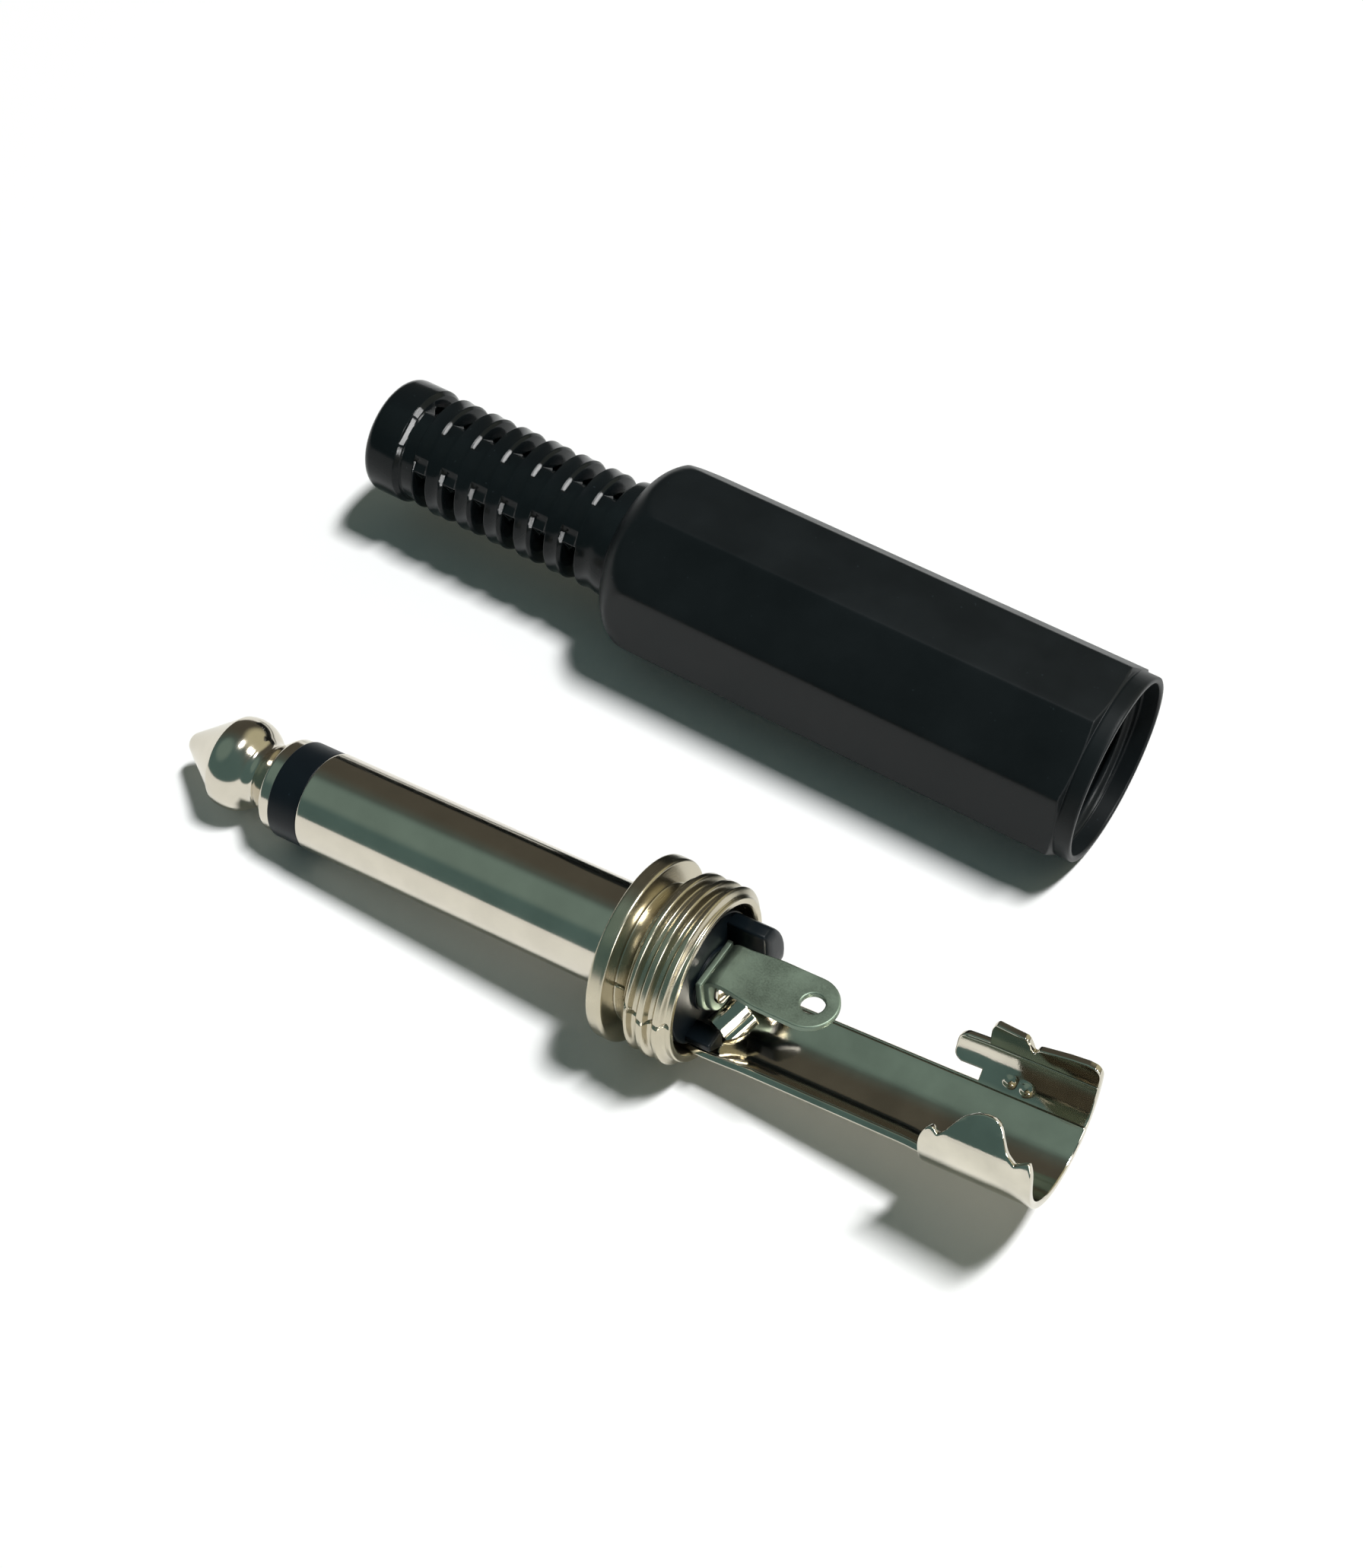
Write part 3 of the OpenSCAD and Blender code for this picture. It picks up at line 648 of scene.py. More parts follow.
def clamp_shell(s):
    """Clamp sheet as part of a tube: point (x, b) lies at radius r, angle b from straight down. The
    trough, the tab and the two ears are the grid cells kept, the upper lines follow the ears' ragged
    edges, and the radius takes in the flattened trough, the leaning lobe and two punched dimples. The sheet
    is bent up a little behind its root, where the two leaves of the tongue stand."""
    trough = math.degrees(s.trough_angle)
    tab_from = s.ear_front - s.tab_len
    tab_low, tab_high = 51.0, 74.0
    hold = 76.0
    near, near_angle = 0.06, 0.8
    # Upper edges of the ears, as stations and angles
    near_edge = np.array([(20.4, 106), (20.65, 110), (21.25, 104), (21.7, 109), (22.1, 118), (22.5, 126),
                          (23.0, 131), (23.45, 133), (24.0, 133), (24.4, 129), (24.75, 120), (25.1, 112),
                          (25.8, 105), (26.4, 109), (26.8, 111)]).T
    far_edge = np.array([(20.4, 95), (21.4, 93.5), (22.4, 92), (22.62, 86), (22.8, 80), (23.02, 80),
                         (23.2, 85), (24.0, 87), (25.0, 89.5), (26.2, 91), (26.8, 90)]).T
    x = np.unique(np.round(np.concatenate([
        np.linspace(s.clamp_front, tab_from, 46), np.linspace(tab_from, s.ear_front, 15),
        np.linspace(s.ear_front, s.clamp_end, 60),
        [s.clamp_front + near, tab_from - near, tab_from + near, s.ear_front - near,
         s.ear_front + near, s.clamp_end - near]]), 5))
    b = np.unique(np.round(np.concatenate([
        np.linspace(-hold, hold, 111),
        np.add.outer([-trough, trough], [-near_angle, 0, near_angle]).ravel(),
        [tab_low, tab_low + near_angle, tab_high - near_angle, tab_high]]), 5))
    rise = np.array([0.12, 0.26, 0.4, 0.54, 0.68, 0.8, 0.9, 0.96, 1.0])
    line = np.concatenate([-rise[::-1], np.zeros(len(b)), rise])
    base = np.concatenate([np.full(len(rise), -hold), b, np.full(len(rise), hold)])
    soft = np.linspace(-0.16, 0.16, 9)[:, None]
    near_top = np.interp(x + soft, *near_edge).mean(axis=0)[:, None]
    far_top = np.interp(x + soft * 0.4, *far_edge).mean(axis=0)[:, None]
    angle_deg = base + line * (np.where(line < 0, near_top, far_top) - hold)
    x_grid = x[:, None] + 0 * angle_deg

    # Rounded corners of the tab and of the ears
    tab_round, front_round, rear_round, corner_len = 0.45, 0.3, 0.35, 1.2
    tab_side = np.clip(np.abs(angle_deg - (tab_low + tab_high) / 2) / ((tab_high - tab_low) / 2), 0, 1)
    on_tab = (angle_deg > tab_low - 0.1) & (angle_deg < tab_high + 0.1)
    before_ear = np.clip((s.ear_front - x_grid) / s.tab_len, 0, 1) * (x_grid >= tab_from - 1e-6)
    x_grid = x_grid + on_tab * tab_round * tab_side ** 5 * before_ear
    from_front = x[:, None] - s.ear_front
    after_front = np.clip(1 - from_front / corner_len, 0, 1) * (from_front >= -1e-6)
    before_rear = np.clip(1 - (s.clamp_end - x[:, None]) / corner_len, 0, 1)
    x_grid = x_grid + np.abs(line) ** 5 * (front_round * after_front - rear_round * before_rear)

    # Radius of the middle of the sheet
    press_depth, lobe_lean, lobe_from, lobe_span = 0.12, 0.5, 96, 30
    dimple_r, dimple_depth = 0.26, 0.16
    pressed = smooth_step(5.4, 8.5, x_grid) * (1 - smooth_step(18.2, s.ear_front + 0.3, x_grid))
    lobe = np.clip((-angle_deg - lobe_from) / lobe_span, 0, 1)
    radius = s.clamp_r - press_depth * pressed - lobe_lean * lobe ** 1.3
    for at_x, at_angle in ((22.0, 49.5), (23.05, 48.3)):
        across = (angle_deg - at_angle) / math.degrees(dimple_r / s.clamp_r)
        radius = radius - dimple_depth * np.exp(-((x_grid - at_x) / dimple_r) ** 2 - across ** 2)
    bend_from, bend_rise = 7.4, 0.053
    lift = bend_rise * np.maximum(x_grid - bend_from, 0)
    turn = np.radians(angle_deg)
    points = np.stack([x_grid, radius * np.sin(turn), lift - radius * np.cos(turn)], axis=-1).reshape(-1, 3)

    # Cells that stay
    mid_x = (x[1:] + x[:-1])[:, None] / 2
    mid_b = (base[1:] + base[:-1])[None, :] / 2
    keep = np.abs(mid_b) < trough
    keep = keep | ((mid_x > tab_from) & (mid_b > tab_low) & (mid_b < tab_high))
    keep = keep | (mid_x > s.ear_front)
    quads = grid_faces(len(x), len(base), False, False)[keep][:, ::-1]
    used, quads = np.unique(quads, return_inverse=True)
    rim = 0.09
    sheet = thick_sheet(points[used], quads.reshape(-1, 4), s.clamp_sheet, rim)
    fold_at, fold_gap, fold_drop = 1.5, 0.06, 0.05
    return joined(sheet, tongue_leaf(s, 0, fold_at, 0),
                  tongue_leaf(s, fold_at + fold_gap, s.tongue_len, fold_drop))


def tongue_leaf(s, start, end, drop):
    """One leaf of the tongue that climbs from the clamp's root: a flat bar, rolled about its length, tipped
    up by its slope and set in its place."""
    half = s.tongue_width / 2
    low = -drop - s.tongue_sheet
    outline = rounded_path([(-half, -drop, 0.08), (half, -drop, 0.08), (half, low, 0.05),
                            (-half, low, 0.05)], True)
    points, quads, triangles = rounded_bar(outline, start, end, 0.07)
    sin_roll, cos_roll = math.sin(s.tongue_roll), math.cos(s.tongue_roll)
    sin_slope, cos_slope = math.sin(s.tongue_slope), math.cos(s.tongue_slope)
    rolled = np.array([[1, 0, 0], [0, cos_roll, sin_roll], [0, -sin_roll, cos_roll]])
    tipped = np.array([[cos_slope, 0, -sin_slope], [0, 1, 0], [sin_slope, 0, cos_slope]])
    return points @ rolled @ tipped + s.tongue_place, quads, triangles


def slot_lines(h, centre):
    """Stations that hold the floor, the walls, the bevelled and the rounded lip of one slot."""
    bevelled = h.slot_half + h.slot_bevel * np.array([0, 0.12, 0.4, 0.75, 0.9, 1, 1.1])
    rounded = h.slot_half + h.slot_round * (1 - np.cos(np.radians([0, 35, 62, 90])))
    wall = h.slot_half - h.wall_draft
    floor = np.array([-wall, -0.36, -0.18, 0, 0.18, 0.36, wall])
    return centre + np.concatenate([-bevelled, floor, rounded])


def boot_radius(h, x, a):
    """Outer radius of the boot: a tube with a rounded end, ringed by shallow waves. At each wave a slot is
    cut from one side, as deep as its flat floor lies below the surface but not below the cable bore. One of
    its lips is rounded, and the other is a sloping bevel that runs on past the slot's ends and is flattened
    there, over the given angle. The first slot lies in a groove all round that sets off the end ring."""
    end = np.clip(h.boot_round - (x + h.handle_len), 0, h.boot_round)
    tube = h.boot_r - h.boot_round + np.sqrt(h.boot_round ** 2 - end ** 2)
    half = h.slot_half
    bevel_ends = np.cos(math.acos(h.slot_floor / h.boot_r) + h.bevel_run_out)
    rows = ((h.upper_slots, h.upper_turn, 0), (h.lower_slots, h.lower_turn, 0),
            (h.upper_slots[:1], h.upper_turn, h.ring_groove))
    cut = np.zeros(np.broadcast(x, a).shape)
    for (centres, turn, groove), flat_turn, flat_half in zip(rows, h.flat_turns, h.flat_halves):
        facing = np.cos(a - turn)
        from_flat = (a - flat_turn + math.pi) % (2 * math.pi) - math.pi
        flattened = h.boot_r * (1 - math.cos(flat_half)) * np.maximum(1 - (from_flat / flat_half) ** 2, 0)
        offsets = x - centres[None, :]
        offset = np.take_along_axis(offsets, np.abs(offsets).argmin(axis=1)[:, None], axis=1)
        floor = np.where(facing > 0.2, h.slot_floor / np.maximum(facing, 0.2), 99)
        depth = np.maximum(tube - np.maximum(floor, h.cable_r), groove)
        inside = np.clip(half + h.slot_round - offset, 0, h.slot_round)
        rounded = h.slot_round - np.sqrt(np.maximum(h.slot_round ** 2 - inside ** 2, 0))
        ramp = np.clip(np.minimum(1 + (half + offset) / h.slot_bevel, (half - offset) / (2 * half)), 0, 1)
        bevelled = h.slot_bevel * h.bevel_slope * ramp + flattened * np.minimum(10 * ramp, 1)
        lip = np.minimum(depth, np.where(offset < 0, bevelled, rounded))
        wall = np.clip((half - np.abs(offset)) / h.wall_draft, 0, 1)
        run_out = bevelled * np.maximum(smooth_step(*bevel_ends, facing), groove > 0)
        wave = h.wave_depth * (1 + np.cos(math.pi * np.clip(offset / h.slot_width, -1, 1))) / 2
        cut = np.maximum.reduce([cut, lip + (depth - lip) * wall, run_out, wave + 0 * a])
    return tube - cut


def softest(*radii, power=150):
    """Smallest of several radii with a small rounding where they cross."""
    return sum((1 / r) ** power for r in radii) ** (-1 / power)


def barrel_radius(h, x, a):
    """Outer radius of the barrel: eight flats with rounded corners, kept inside the domed shoulder, the
    bevel before the mouth and the round mouth."""
    sector = (np.degrees(a) + 22.5) % 45 - 22.5
    flat = h.barrel_r / np.cos(np.radians(sector))
    next_flat = h.barrel_r / np.cos(np.radians(45 - np.abs(sector)))
    octagon = softest(flat, next_flat, power=320)
    dome_x = h.barrel_front + h.dome_r
    back = np.clip(dome_x - x, 0, h.dome_r)
    dome = h.corner_r - h.dome_r + np.sqrt(h.dome_r ** 2 - back ** 2)
    barrel_end = -h.mouth_len
    bevel_x = [barrel_end - 0.2, barrel_end - 0.03, barrel_end, barrel_end + 0.1, -0.16, -0.06, 0]
    bevel_r = [h.corner_r, h.barrel_r + 0.06, h.barrel_r - 0.05, h.barrel_r - 0.01, h.barrel_r - 0.01,
               h.barrel_r - 0.03, h.barrel_r - 0.1]
    return softest(octagon, np.minimum(dome, np.interp(x, bevel_x, bevel_r)))


def handle_lines(h):
    """Angles of the lines around the axis: even steps, with more lines at the barrel's corners, the slots'
    ends and the boot's flats, and none that crowds those."""
    opening = math.degrees(math.acos(h.slot_floor / h.cable_r))
    slot_edge = math.degrees(math.acos(h.slot_floor / h.boot_r))
    turns = np.degrees([h.upper_turn, h.lower_turn])[:, None]
    corners = np.arange(22.5, 360, 45)[:, None] + np.array([-2.6, -1.5, -0.75, 0, 0.75, 1.5, 2.6])
    opens = turns + np.array([-opening, opening])
    ends = turns + np.array([-slot_edge, slot_edge]).repeat(3) + np.tile([-1.5, 0, 1.5], 2)
    shares = np.array([-1.12, -1, -0.85, -0.4, 0, 0.4, 0.85, 1, 1.12])
    flats = np.degrees(h.flat_turns[:, None] + h.flat_halves[:, None] * shares)
    held = np.concatenate([corners.ravel(), opens.ravel(), flats.ravel()])

    def clear_of_held(lines, room):
        """Those of the lines that keep their distance from the held ones."""
        return lines[np.abs(lines[:, None] - held).min(axis=1) > room]

    even = clear_of_held(np.arange(0, 360, 4.0), 0.5)
    lines = np.concatenate([held, even, clear_of_held(ends.ravel(), 0.4)])
    return np.radians(np.unique(np.round(lines % 360, 6)))[None, :]


def boot_stations(h):
    """Stations along the boot: its rounded end, every slot and the start of the barrel."""
    end_turn = np.radians(np.linspace(90, 0, 7))
    end_x = -h.handle_len + h.boot_round * (1 - np.sin(end_turn))
    slots = [slot_lines(h, centre) for centre in (*h.upper_slots, *h.lower_slots)]
    stations = np.concatenate([end_x, *slots, [h.barrel_front - 0.6, h.barrel_front - 0.3]])
    stations = np.unique(np.round(stations, 5))
    stations[0] = -h.handle_len
    return stations


def handle_outside(h, boot_x, a):
    """Stations and radii from the boot's end to the mouth: the boot, a valley drawn as a parabola from the
    boot up to the barrel's domed shoulder, and the barrel."""
    dome_turn = np.radians(np.linspace(74, 0, 24))
    dome_x = h.barrel_front + h.dome_r - h.dome_r * np.sin(dome_turn)
    dome_start_r = h.corner_r - h.dome_r + h.dome_r * math.cos(dome_turn[0])
    barrel_x = np.concatenate([
        dome_x, np.linspace(dome_x[-1], -h.mouth_len - 0.75, 10)[1:],
        -h.mouth_len + np.array([-0.3, -0.24, -0.2, -0.15, -0.1, -0.03, 0, 0.05, 0.1, 0.2]),
        [-0.5, -0.3, -0.16, -0.1, -0.06, -0.03, 0]])
    t = np.linspace(0, 1, 6)[:-1, None]
    valley = ((1 - t) ** 2 * [h.barrel_front - 0.15, h.boot_r]
              + 2 * t * (1 - t) * [h.barrel_front + 0.05, h.boot_r] + t ** 2 * [dome_x[0], dome_start_r])
    radius = np.concatenate([boot_radius(h, boot_x[:, None], a), valley[:, 1:] + 0 * a,
                             barrel_radius(h, barrel_x[:, None], a)])
    return np.concatenate([boot_x, valley[:, 0], barrel_x]), radius


def handle_inside(h, boot_x, a):
    """Stations and radii of the cable bore, cone, cavity, thread and the seat of the flange."""
    ridge_x = np.linspace(h.thread_end, -h.seat_len - 0.06, 72)
    path = np.concatenate([
        rounded_path([(h.barrel_front, h.cable_r, 0), (h.bore_end, h.cable_r, 0.3),
                      (h.cavity_end, h.thread_low_r, 0.4), (h.thread_end - 0.1, h.thread_low_r, 0)], False),
        np.stack([ridge_x, np.full(len(ridge_x), h.thread_low_r)], axis=-1),
        rounded_path([(-h.seat_len - 0.02, h.thread_high_r, 0), (-h.seat_len, h.seat_r, 0.04),
                      (-0.1, h.seat_r, 0.03), (0, h.seat_r + 0.08, 0)], False)])
    x, r = path[:, :1], path[:, 1:]
    wave = thread_wave(x / h.thread_pitch - a / (2 * math.pi))
    on_thread = (x >= ridge_x[0]) & (x <= ridge_x[-1])
    fade = smooth_step(h.thread_end, h.thread_end + 0.5, x)
    threaded = r + on_thread * fade * wave * (h.thread_high_r - h.thread_low_r)
    radius = np.concatenate([np.full((len(boot_x), a.shape[1]), h.cable_r), threaded])
    return np.concatenate([boot_x, x[:, 0]]), radius


def handle_shell(h):
    """Handle as an outer and an inner surface on the same lines around the axis: they share their points
    where a slot opens into the cable bore, and flat rings join them at the boot's end and the mouth."""
    a = handle_lines(h)
    boot_x = boot_stations(h)
    outer_x, outer_r = handle_outside(h, boot_x, a)
    inner_x, inner_r = handle_inside(h, boot_x, a)
    columns = a.shape[1]
    outer_count = outer_r.size
    boot_count = len(boot_x) * columns
    shared = np.zeros(inner_r.size, bool)
    shared[:boot_count] = outer_r.ravel()[:boot_count] < h.cable_r + 1e-6
    number = outer_count + np.arange(inner_r.size)
    number[shared] = np.flatnonzero(shared)
    outer_quads = grid_faces(len(outer_x), columns, False, True).reshape(-1, 4)
    inner_quads = grid_faces(len(inner_x), columns, False, True).reshape(-1, 4)
    open_inside = shared[inner_quads].all(axis=1)
    shared_outside = np.zeros(outer_count, bool)
    shared_outside[:boot_count] = shared[:boot_count]
    open_outside = shared_outside[outer_quads].all(axis=1)
    j = np.arange(columns)
    after = (j + 1) % columns
    outer_end = outer_count - columns
    inner_end = outer_count + inner_r.size - columns
    boot_ring = np.stack([j, after, outer_count + after, outer_count + j], axis=-1)
    mouth_ring = np.stack([outer_end + after, outer_end + j, inner_end + j, inner_end + after], axis=-1)
    quads = np.concatenate([outer_quads[~open_outside], number[inner_quads[~open_inside]][:, ::-1],
                            boot_ring, mouth_ring])
    points = np.concatenate([around_axis(outer_x[:, None], outer_r, a),
                             around_axis(inner_x[:, None], inner_r, a)])
    used, quads = np.unique(quads, return_inverse=True)
    return points[used], quads.reshape(-1, 4), NO_TRIANGLES


# Pieces

def make_piece(name, shell, axes, origin, material, node):
    """Mesh object of a closed shell, placed by its axes and origin, that stands for a CAD node."""
    points, quads, triangles = shell
    placed = (points @ axes + origin) * MM
    mesh = bpy.data.meshes.new(name)
    mesh.vertices.add(len(points))
    mesh.vertices.foreach_set("co", placed.astype(np.float32).ravel())
    corners = np.concatenate([quads.ravel(), triangles.ravel()]).astype(np.int32)
    mesh.loops.add(len(corners))
    mesh.loops.foreach_set("vertex_index", corners)
    starts = np.concatenate([4 * np.arange(len(quads)), quads.size + 3 * np.arange(len(triangles))])
    mesh.polygons.add(len(starts))
    mesh.polygons.foreach_set("loop_start", starts.astype(np.int32))
    mesh.update(calc_edges=True)
    mesh.polygons.foreach_set("use_smooth", np.ones(len(starts), bool))
    station = mesh.attributes.new("station", "FLOAT", "POINT")
    station.data.foreach_set("value", points[:, 0].astype(np.float32))
    if mesh.validate():
        raise RuntimeError(f"the mesh of {name} has faults")
    mesh.materials.append(material)
    piece = bpy.data.objects.new(name, mesh)
    bpy.context.scene.collection.objects.link(piece)
    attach(piece, "root")
    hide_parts(node)
    return piece


def plug_piece(name, shell, material, node):
    """Piece in the plug's frame."""
    return make_piece(name, shell, PLUG_AXES, PLUG_ORIGIN, material, node)


# Materials

def add_node(tree, kind, output=None, sockets=None, **settings):
    """Adds a shader node of a kind with its settings, sets each socket to a value or links it to another
    node's output, and gives the wanted output, or the node where none is named."""
    node = tree.nodes.new(f"ShaderNode{kind}")
    for key, value in settings.items():
        setattr(node, key, value)
    for key, value in (sockets or {}).items():
        if isinstance(value, bpy.types.NodeSocket):
            tree.links.new(value, node.inputs[key])
        else:
            node.inputs[key].default_value = value
    return node if output is None else node.outputs[output]


def cleared_tree(holder):
    """Empty node tree of a material or a world."""
    holder.use_nodes = True
    holder.node_tree.nodes.clear()
    return holder.node_tree


def grains(millimetres):
    """Scale of a pattern whose grains have the given size."""
    return 1 / (millimetres * MM)


def rgba(tone, share=1.0):
    """A colour made darker or lighter by a share, as a socket takes it."""
    return (*(value * share for value in tone), 1)


def turned_metal(name, tone, rough, lines_mm, line_depth, cloud_mm):
    """Plated turned metal: bright mirror bands broken by fine turning lines that follow the axis, with a
    faint cloudy tarnish."""
    material = bpy.data.materials.new(name)
    tree = cleared_tree(material)
    place = add_node(tree, "TexCoord", "Object")
    station = add_node(tree, "Attribute", "Fac", attribute_name="station")
    lines = add_node(tree, "TexNoise", "Fac", {"W": station, "Scale": 1 / lines_mm, "Detail": 3.0},
                     noise_dimensions="1D")
    cloud = add_node(tree, "TexNoise", "Fac",
                     {"Vector": place, "Scale": grains(cloud_mm), "Detail": 4.0})
    fine = add_node(tree, "TexNoise", "Fac", {"Vector": place, "Scale": grains(0.12), "Detail": 2.0})
    tarnish = add_node(tree, "MapRange", "Result",
                       {"Value": cloud, "From Min": 0.35, "From Max": 0.7})
    base = add_node(tree, "Mix", 2, {"Factor": tarnish, 6: rgba(tone, 0.9), 7: rgba(tone)},
                    data_type="RGBA")
    worn = add_node(tree, "Math", "Value", {0: lines, 1: 0.5, 2: cloud}, operation="MULTIPLY_ADD")
    gloss = add_node(tree, "MapRange", "Result",
                     {"Value": worn, "From Min": 0.4, "From Max": 1.1, "To Min": 0.8 * rough,
                      "To Max": 1.25 * rough})
    height = add_node(tree, "Math", "Value", {0: fine, 1: 0.15, 2: lines}, operation="MULTIPLY_ADD")
    relief = add_node(tree, "Bump", "Normal",
                      {"Height": height, "Distance": line_depth * MM, "Strength": 0.5})
    surface = add_node(tree, "BsdfPrincipled", "BSDF",
                       {"Base Color": base, "Roughness": gloss, "Normal": relief, "Metallic": 1.0})
    add_node(tree, "OutputMaterial", None, {"Surface": surface})
    return material


def sheet_metal(name, tone, rough, streak_mm, pits_mm):
    """Plated sheet: soft rolling streaks along the plug, cloudy tone and tiny pits that catch the light."""
    material = bpy.data.materials.new(name)
    tree = cleared_tree(material)
    place = add_node(tree, "TexCoord", "Object")
    drawn = add_node(tree, "Mapping", "Vector", {"Vector": place, "Scale": (0.16, 1, 1)})
    rolled, cloud, pits = (
        add_node(tree, "TexNoise", "Fac", {"Vector": where, "Scale": grains(size), "Detail": detail})
        for where, size, detail in ((drawn, streak_mm, 3.0), (place, 2.6, 3.0), (place, pits_mm, 2.0)))
    tarnish = add_node(tree, "MapRange", "Result",
                       {"Value": cloud, "From Min": 0.35, "From Max": 0.68})
    base = add_node(tree, "Mix", 2, {"Factor": tarnish, 6: rgba(tone, 0.82), 7: rgba(tone)},
                    data_type="RGBA")
    worn = add_node(tree, "Math", "Value", {0: pits, 1: 0.6, 2: cloud}, operation="MULTIPLY_ADD")
    gloss = add_node(tree, "MapRange", "Result",
                     {"Value": worn, "From Min": 0.5, "From Max": 1.1, "To Min": 0.75 * rough,
                      "To Max": 1.3 * rough})
    height = add_node(tree, "Math", "Value", {0: pits, 1: 0.35, 2: rolled}, operation="MULTIPLY_ADD")
    relief = add_node(tree, "Bump", "Normal",
                      {"Height": height, "Distance": 0.008 * MM, "Strength": 0.4})
    surface = add_node(tree, "BsdfPrincipled", "BSDF",
                       {"Base Color": base, "Roughness": gloss, "Normal": relief, "Metallic": 1.0})
    add_node(tree, "OutputMaterial", None, {"Surface": surface})
    return material


def moulded_plastic(name, tone, rough, end_rough, end_station):
    """Black moulded plastic: an almost even dark tone with a fine moulding grain, slightly cloudy gloss
    and a few pale dust specks, glossier beyond the given station."""
    material = bpy.data.materials.new(name)
    tree = cleared_tree(material)
    place = add_node(tree, "TexCoord", "Object")
    station = add_node(tree, "Attribute", "Fac", attribute_name="station")
    cloud, grain, dust = (
        add_node(tree, "TexNoise", "Fac", {"Vector": place, "Scale": grains(size), "Detail": detail})
        for size, detail in ((4.0, 4.0), (0.11, 3.0), (0.3, 1.0)))
    cloudy = add_node(tree, "MapRange", "Result", {"Value": cloud, "From Min": 0.3, "From Max": 0.7})
    speck = add_node(tree, "MapRange", "Result",
                     {"Value": dust, "From Min": 0.76, "From Max": 0.82, "To Max": 0.3})
    worn = add_node(tree, "Mix", 2, {"Factor": cloudy, 6: rgba(tone, 0.82), 7: rgba(tone, 1.15)},
                    data_type="RGBA")
    base = add_node(tree, "Mix", 2, {"Factor": speck, 6: worn, 7: rgba(tone, 6)}, data_type="RGBA")
    along = add_node(tree, "MapRange", "Result",
                     {"Value": station, "From Min": end_station - 0.4, "From Max": end_station + 0.4,
                      "To Min": end_rough, "To Max": rough})
    spread = add_node(tree, "MapRange", "Result",
                      {"Value": cloud, "From Min": 0.3, "From Max": 0.7, "To Min": -0.5, "To Max": 0.5})
    gloss = add_node(tree, "Math", "Value", {0: spread, 1: 0.08, 2: along}, operation="MULTIPLY_ADD")
    relief = add_node(tree, "Bump", "Normal",
                      {"Height": grain, "Distance": 0.006 * MM, "Strength": 0.5})
    surface = add_node(tree, "BsdfPrincipled", "BSDF",
                       {"Base Color": base, "Roughness": gloss, "Normal": relief, "IOR": 1.25})
    add_node(tree, "OutputMaterial", None, {"Surface": surface})
    return material


def floor_material(tone):
    """Matt pale floor that keeps the shadow near the object and turns to plain white further out, so that
    the background stays even."""
    material = bpy.data.materials.new("pale_floor")
    tree = cleared_tree(material)
    place = add_node(tree, "TexCoord", "Object")
    away = add_node(tree, "VectorMath", "Value", {0: place}, operation="LENGTH")
    shadow_reach, plain_from = 0.075, 0.16
    far = add_node(tree, "MapRange", "Result",
                   {"Value": away, "From Min": shadow_reach, "From Max": plain_from})
    path = add_node(tree, "LightPath").outputs
    seen = path["Is Camera Ray"]
    for ray in ("Is Glossy Ray", "Is Transmission Ray"):
        seen = add_node(tree, "Math", "Value", {0: seen, 1: path[ray]}, operation="MAXIMUM")
    share = add_node(tree, "Math", "Value", {0: far, 1: seen}, operation="MULTIPLY")
    matt = add_node(tree, "BsdfDiffuse", "BSDF", {"Color": rgba(tone)})
    white = add_node(tree, "Emission", "Emission", {"Color": (1, 1, 1, 1), "Strength": 1.0})
    surface = add_node(tree, "MixShader", "Shader", {"Fac": share, 1: matt, 2: white})
    add_node(tree, "OutputMaterial", None, {"Surface": surface})
    return material


def finish_material(name, context):
    """One of the object's finishes, made on first use."""
    known = bpy.data.materials.get(name)
    if known:
        return known
    f = context.scene.jack_finishes
    boot_end = handle_sizes(context).barrel_front
    maker, *values = {
        "bright_nickel": (turned_metal, f.nickel, f.nickel_rough, 0.09, 0.002, 2.4),
        "satin_nickel": (turned_metal, f.satin, f.satin_rough, 0.05, 0.004, 1.6),
        "tinned_sheet": (sheet_metal, f.tinned, f.tinned_rough, 0.3, 0.09),
        "nickel_sheet": (sheet_metal, f.sheet, f.sheet_rough, 0.5, 0.07),
        "black_moulded_plastic": (moulded_plastic, f.plastic, f.plastic_rough, f.boot_rough, boot_end),
        "black_insulator": (moulded_plastic, f.insulator, f.insulator_rough, f.insulator_rough, 0.0)}[name]
    return maker(name, *values)


# Operators

class JACKPLUG_OT_contacts(bpy.types.Operator):
    """Build the tip, the insulating ring, the sleeve and the liner's finish"""
    bl_idname = "jackplug.contacts"
    bl_label = "Build Contacts"

    def execute(self, context):
        s = plug_sizes(context)
        nickel = finish_material("bright_nickel", context)
        black = finish_material("black_insulator", context)
        plug_piece("tip_contact", turned(tip_profile(s), 176, True), nickel, "tip")
        plug_piece("insulating_ring", turned(tip_insulator_profile(s), 176, False), black, "tip_insulator")
        plug_piece("sleeve_contact", turned(sleeve_profile(s), 176, False), nickel, "sleeve")
        liner = frame["nodes"]["rod_liner"]
        liner.data.materials.clear()
        liner.data.materials.append(black)
        return {"FINISHED"}


class JACKPLUG_OT_collar(bpy.types.Operator):
    """Build the threaded collar and the insulator behind it"""
    bl_idname = "jackplug.collar"
    bl_label = "Build Collar"

    def execute(self, context):
        s = plug_sizes(context)
        plug_piece("screw_collar", collar_shell(s), finish_material("satin_nickel", context),
                   "threaded_collar")
        plug_piece("lug_insulator", rear_insulator_shells(s), finish_material("black_insulator", context),
                   "rear_insulator")
        return {"FINISHED"}


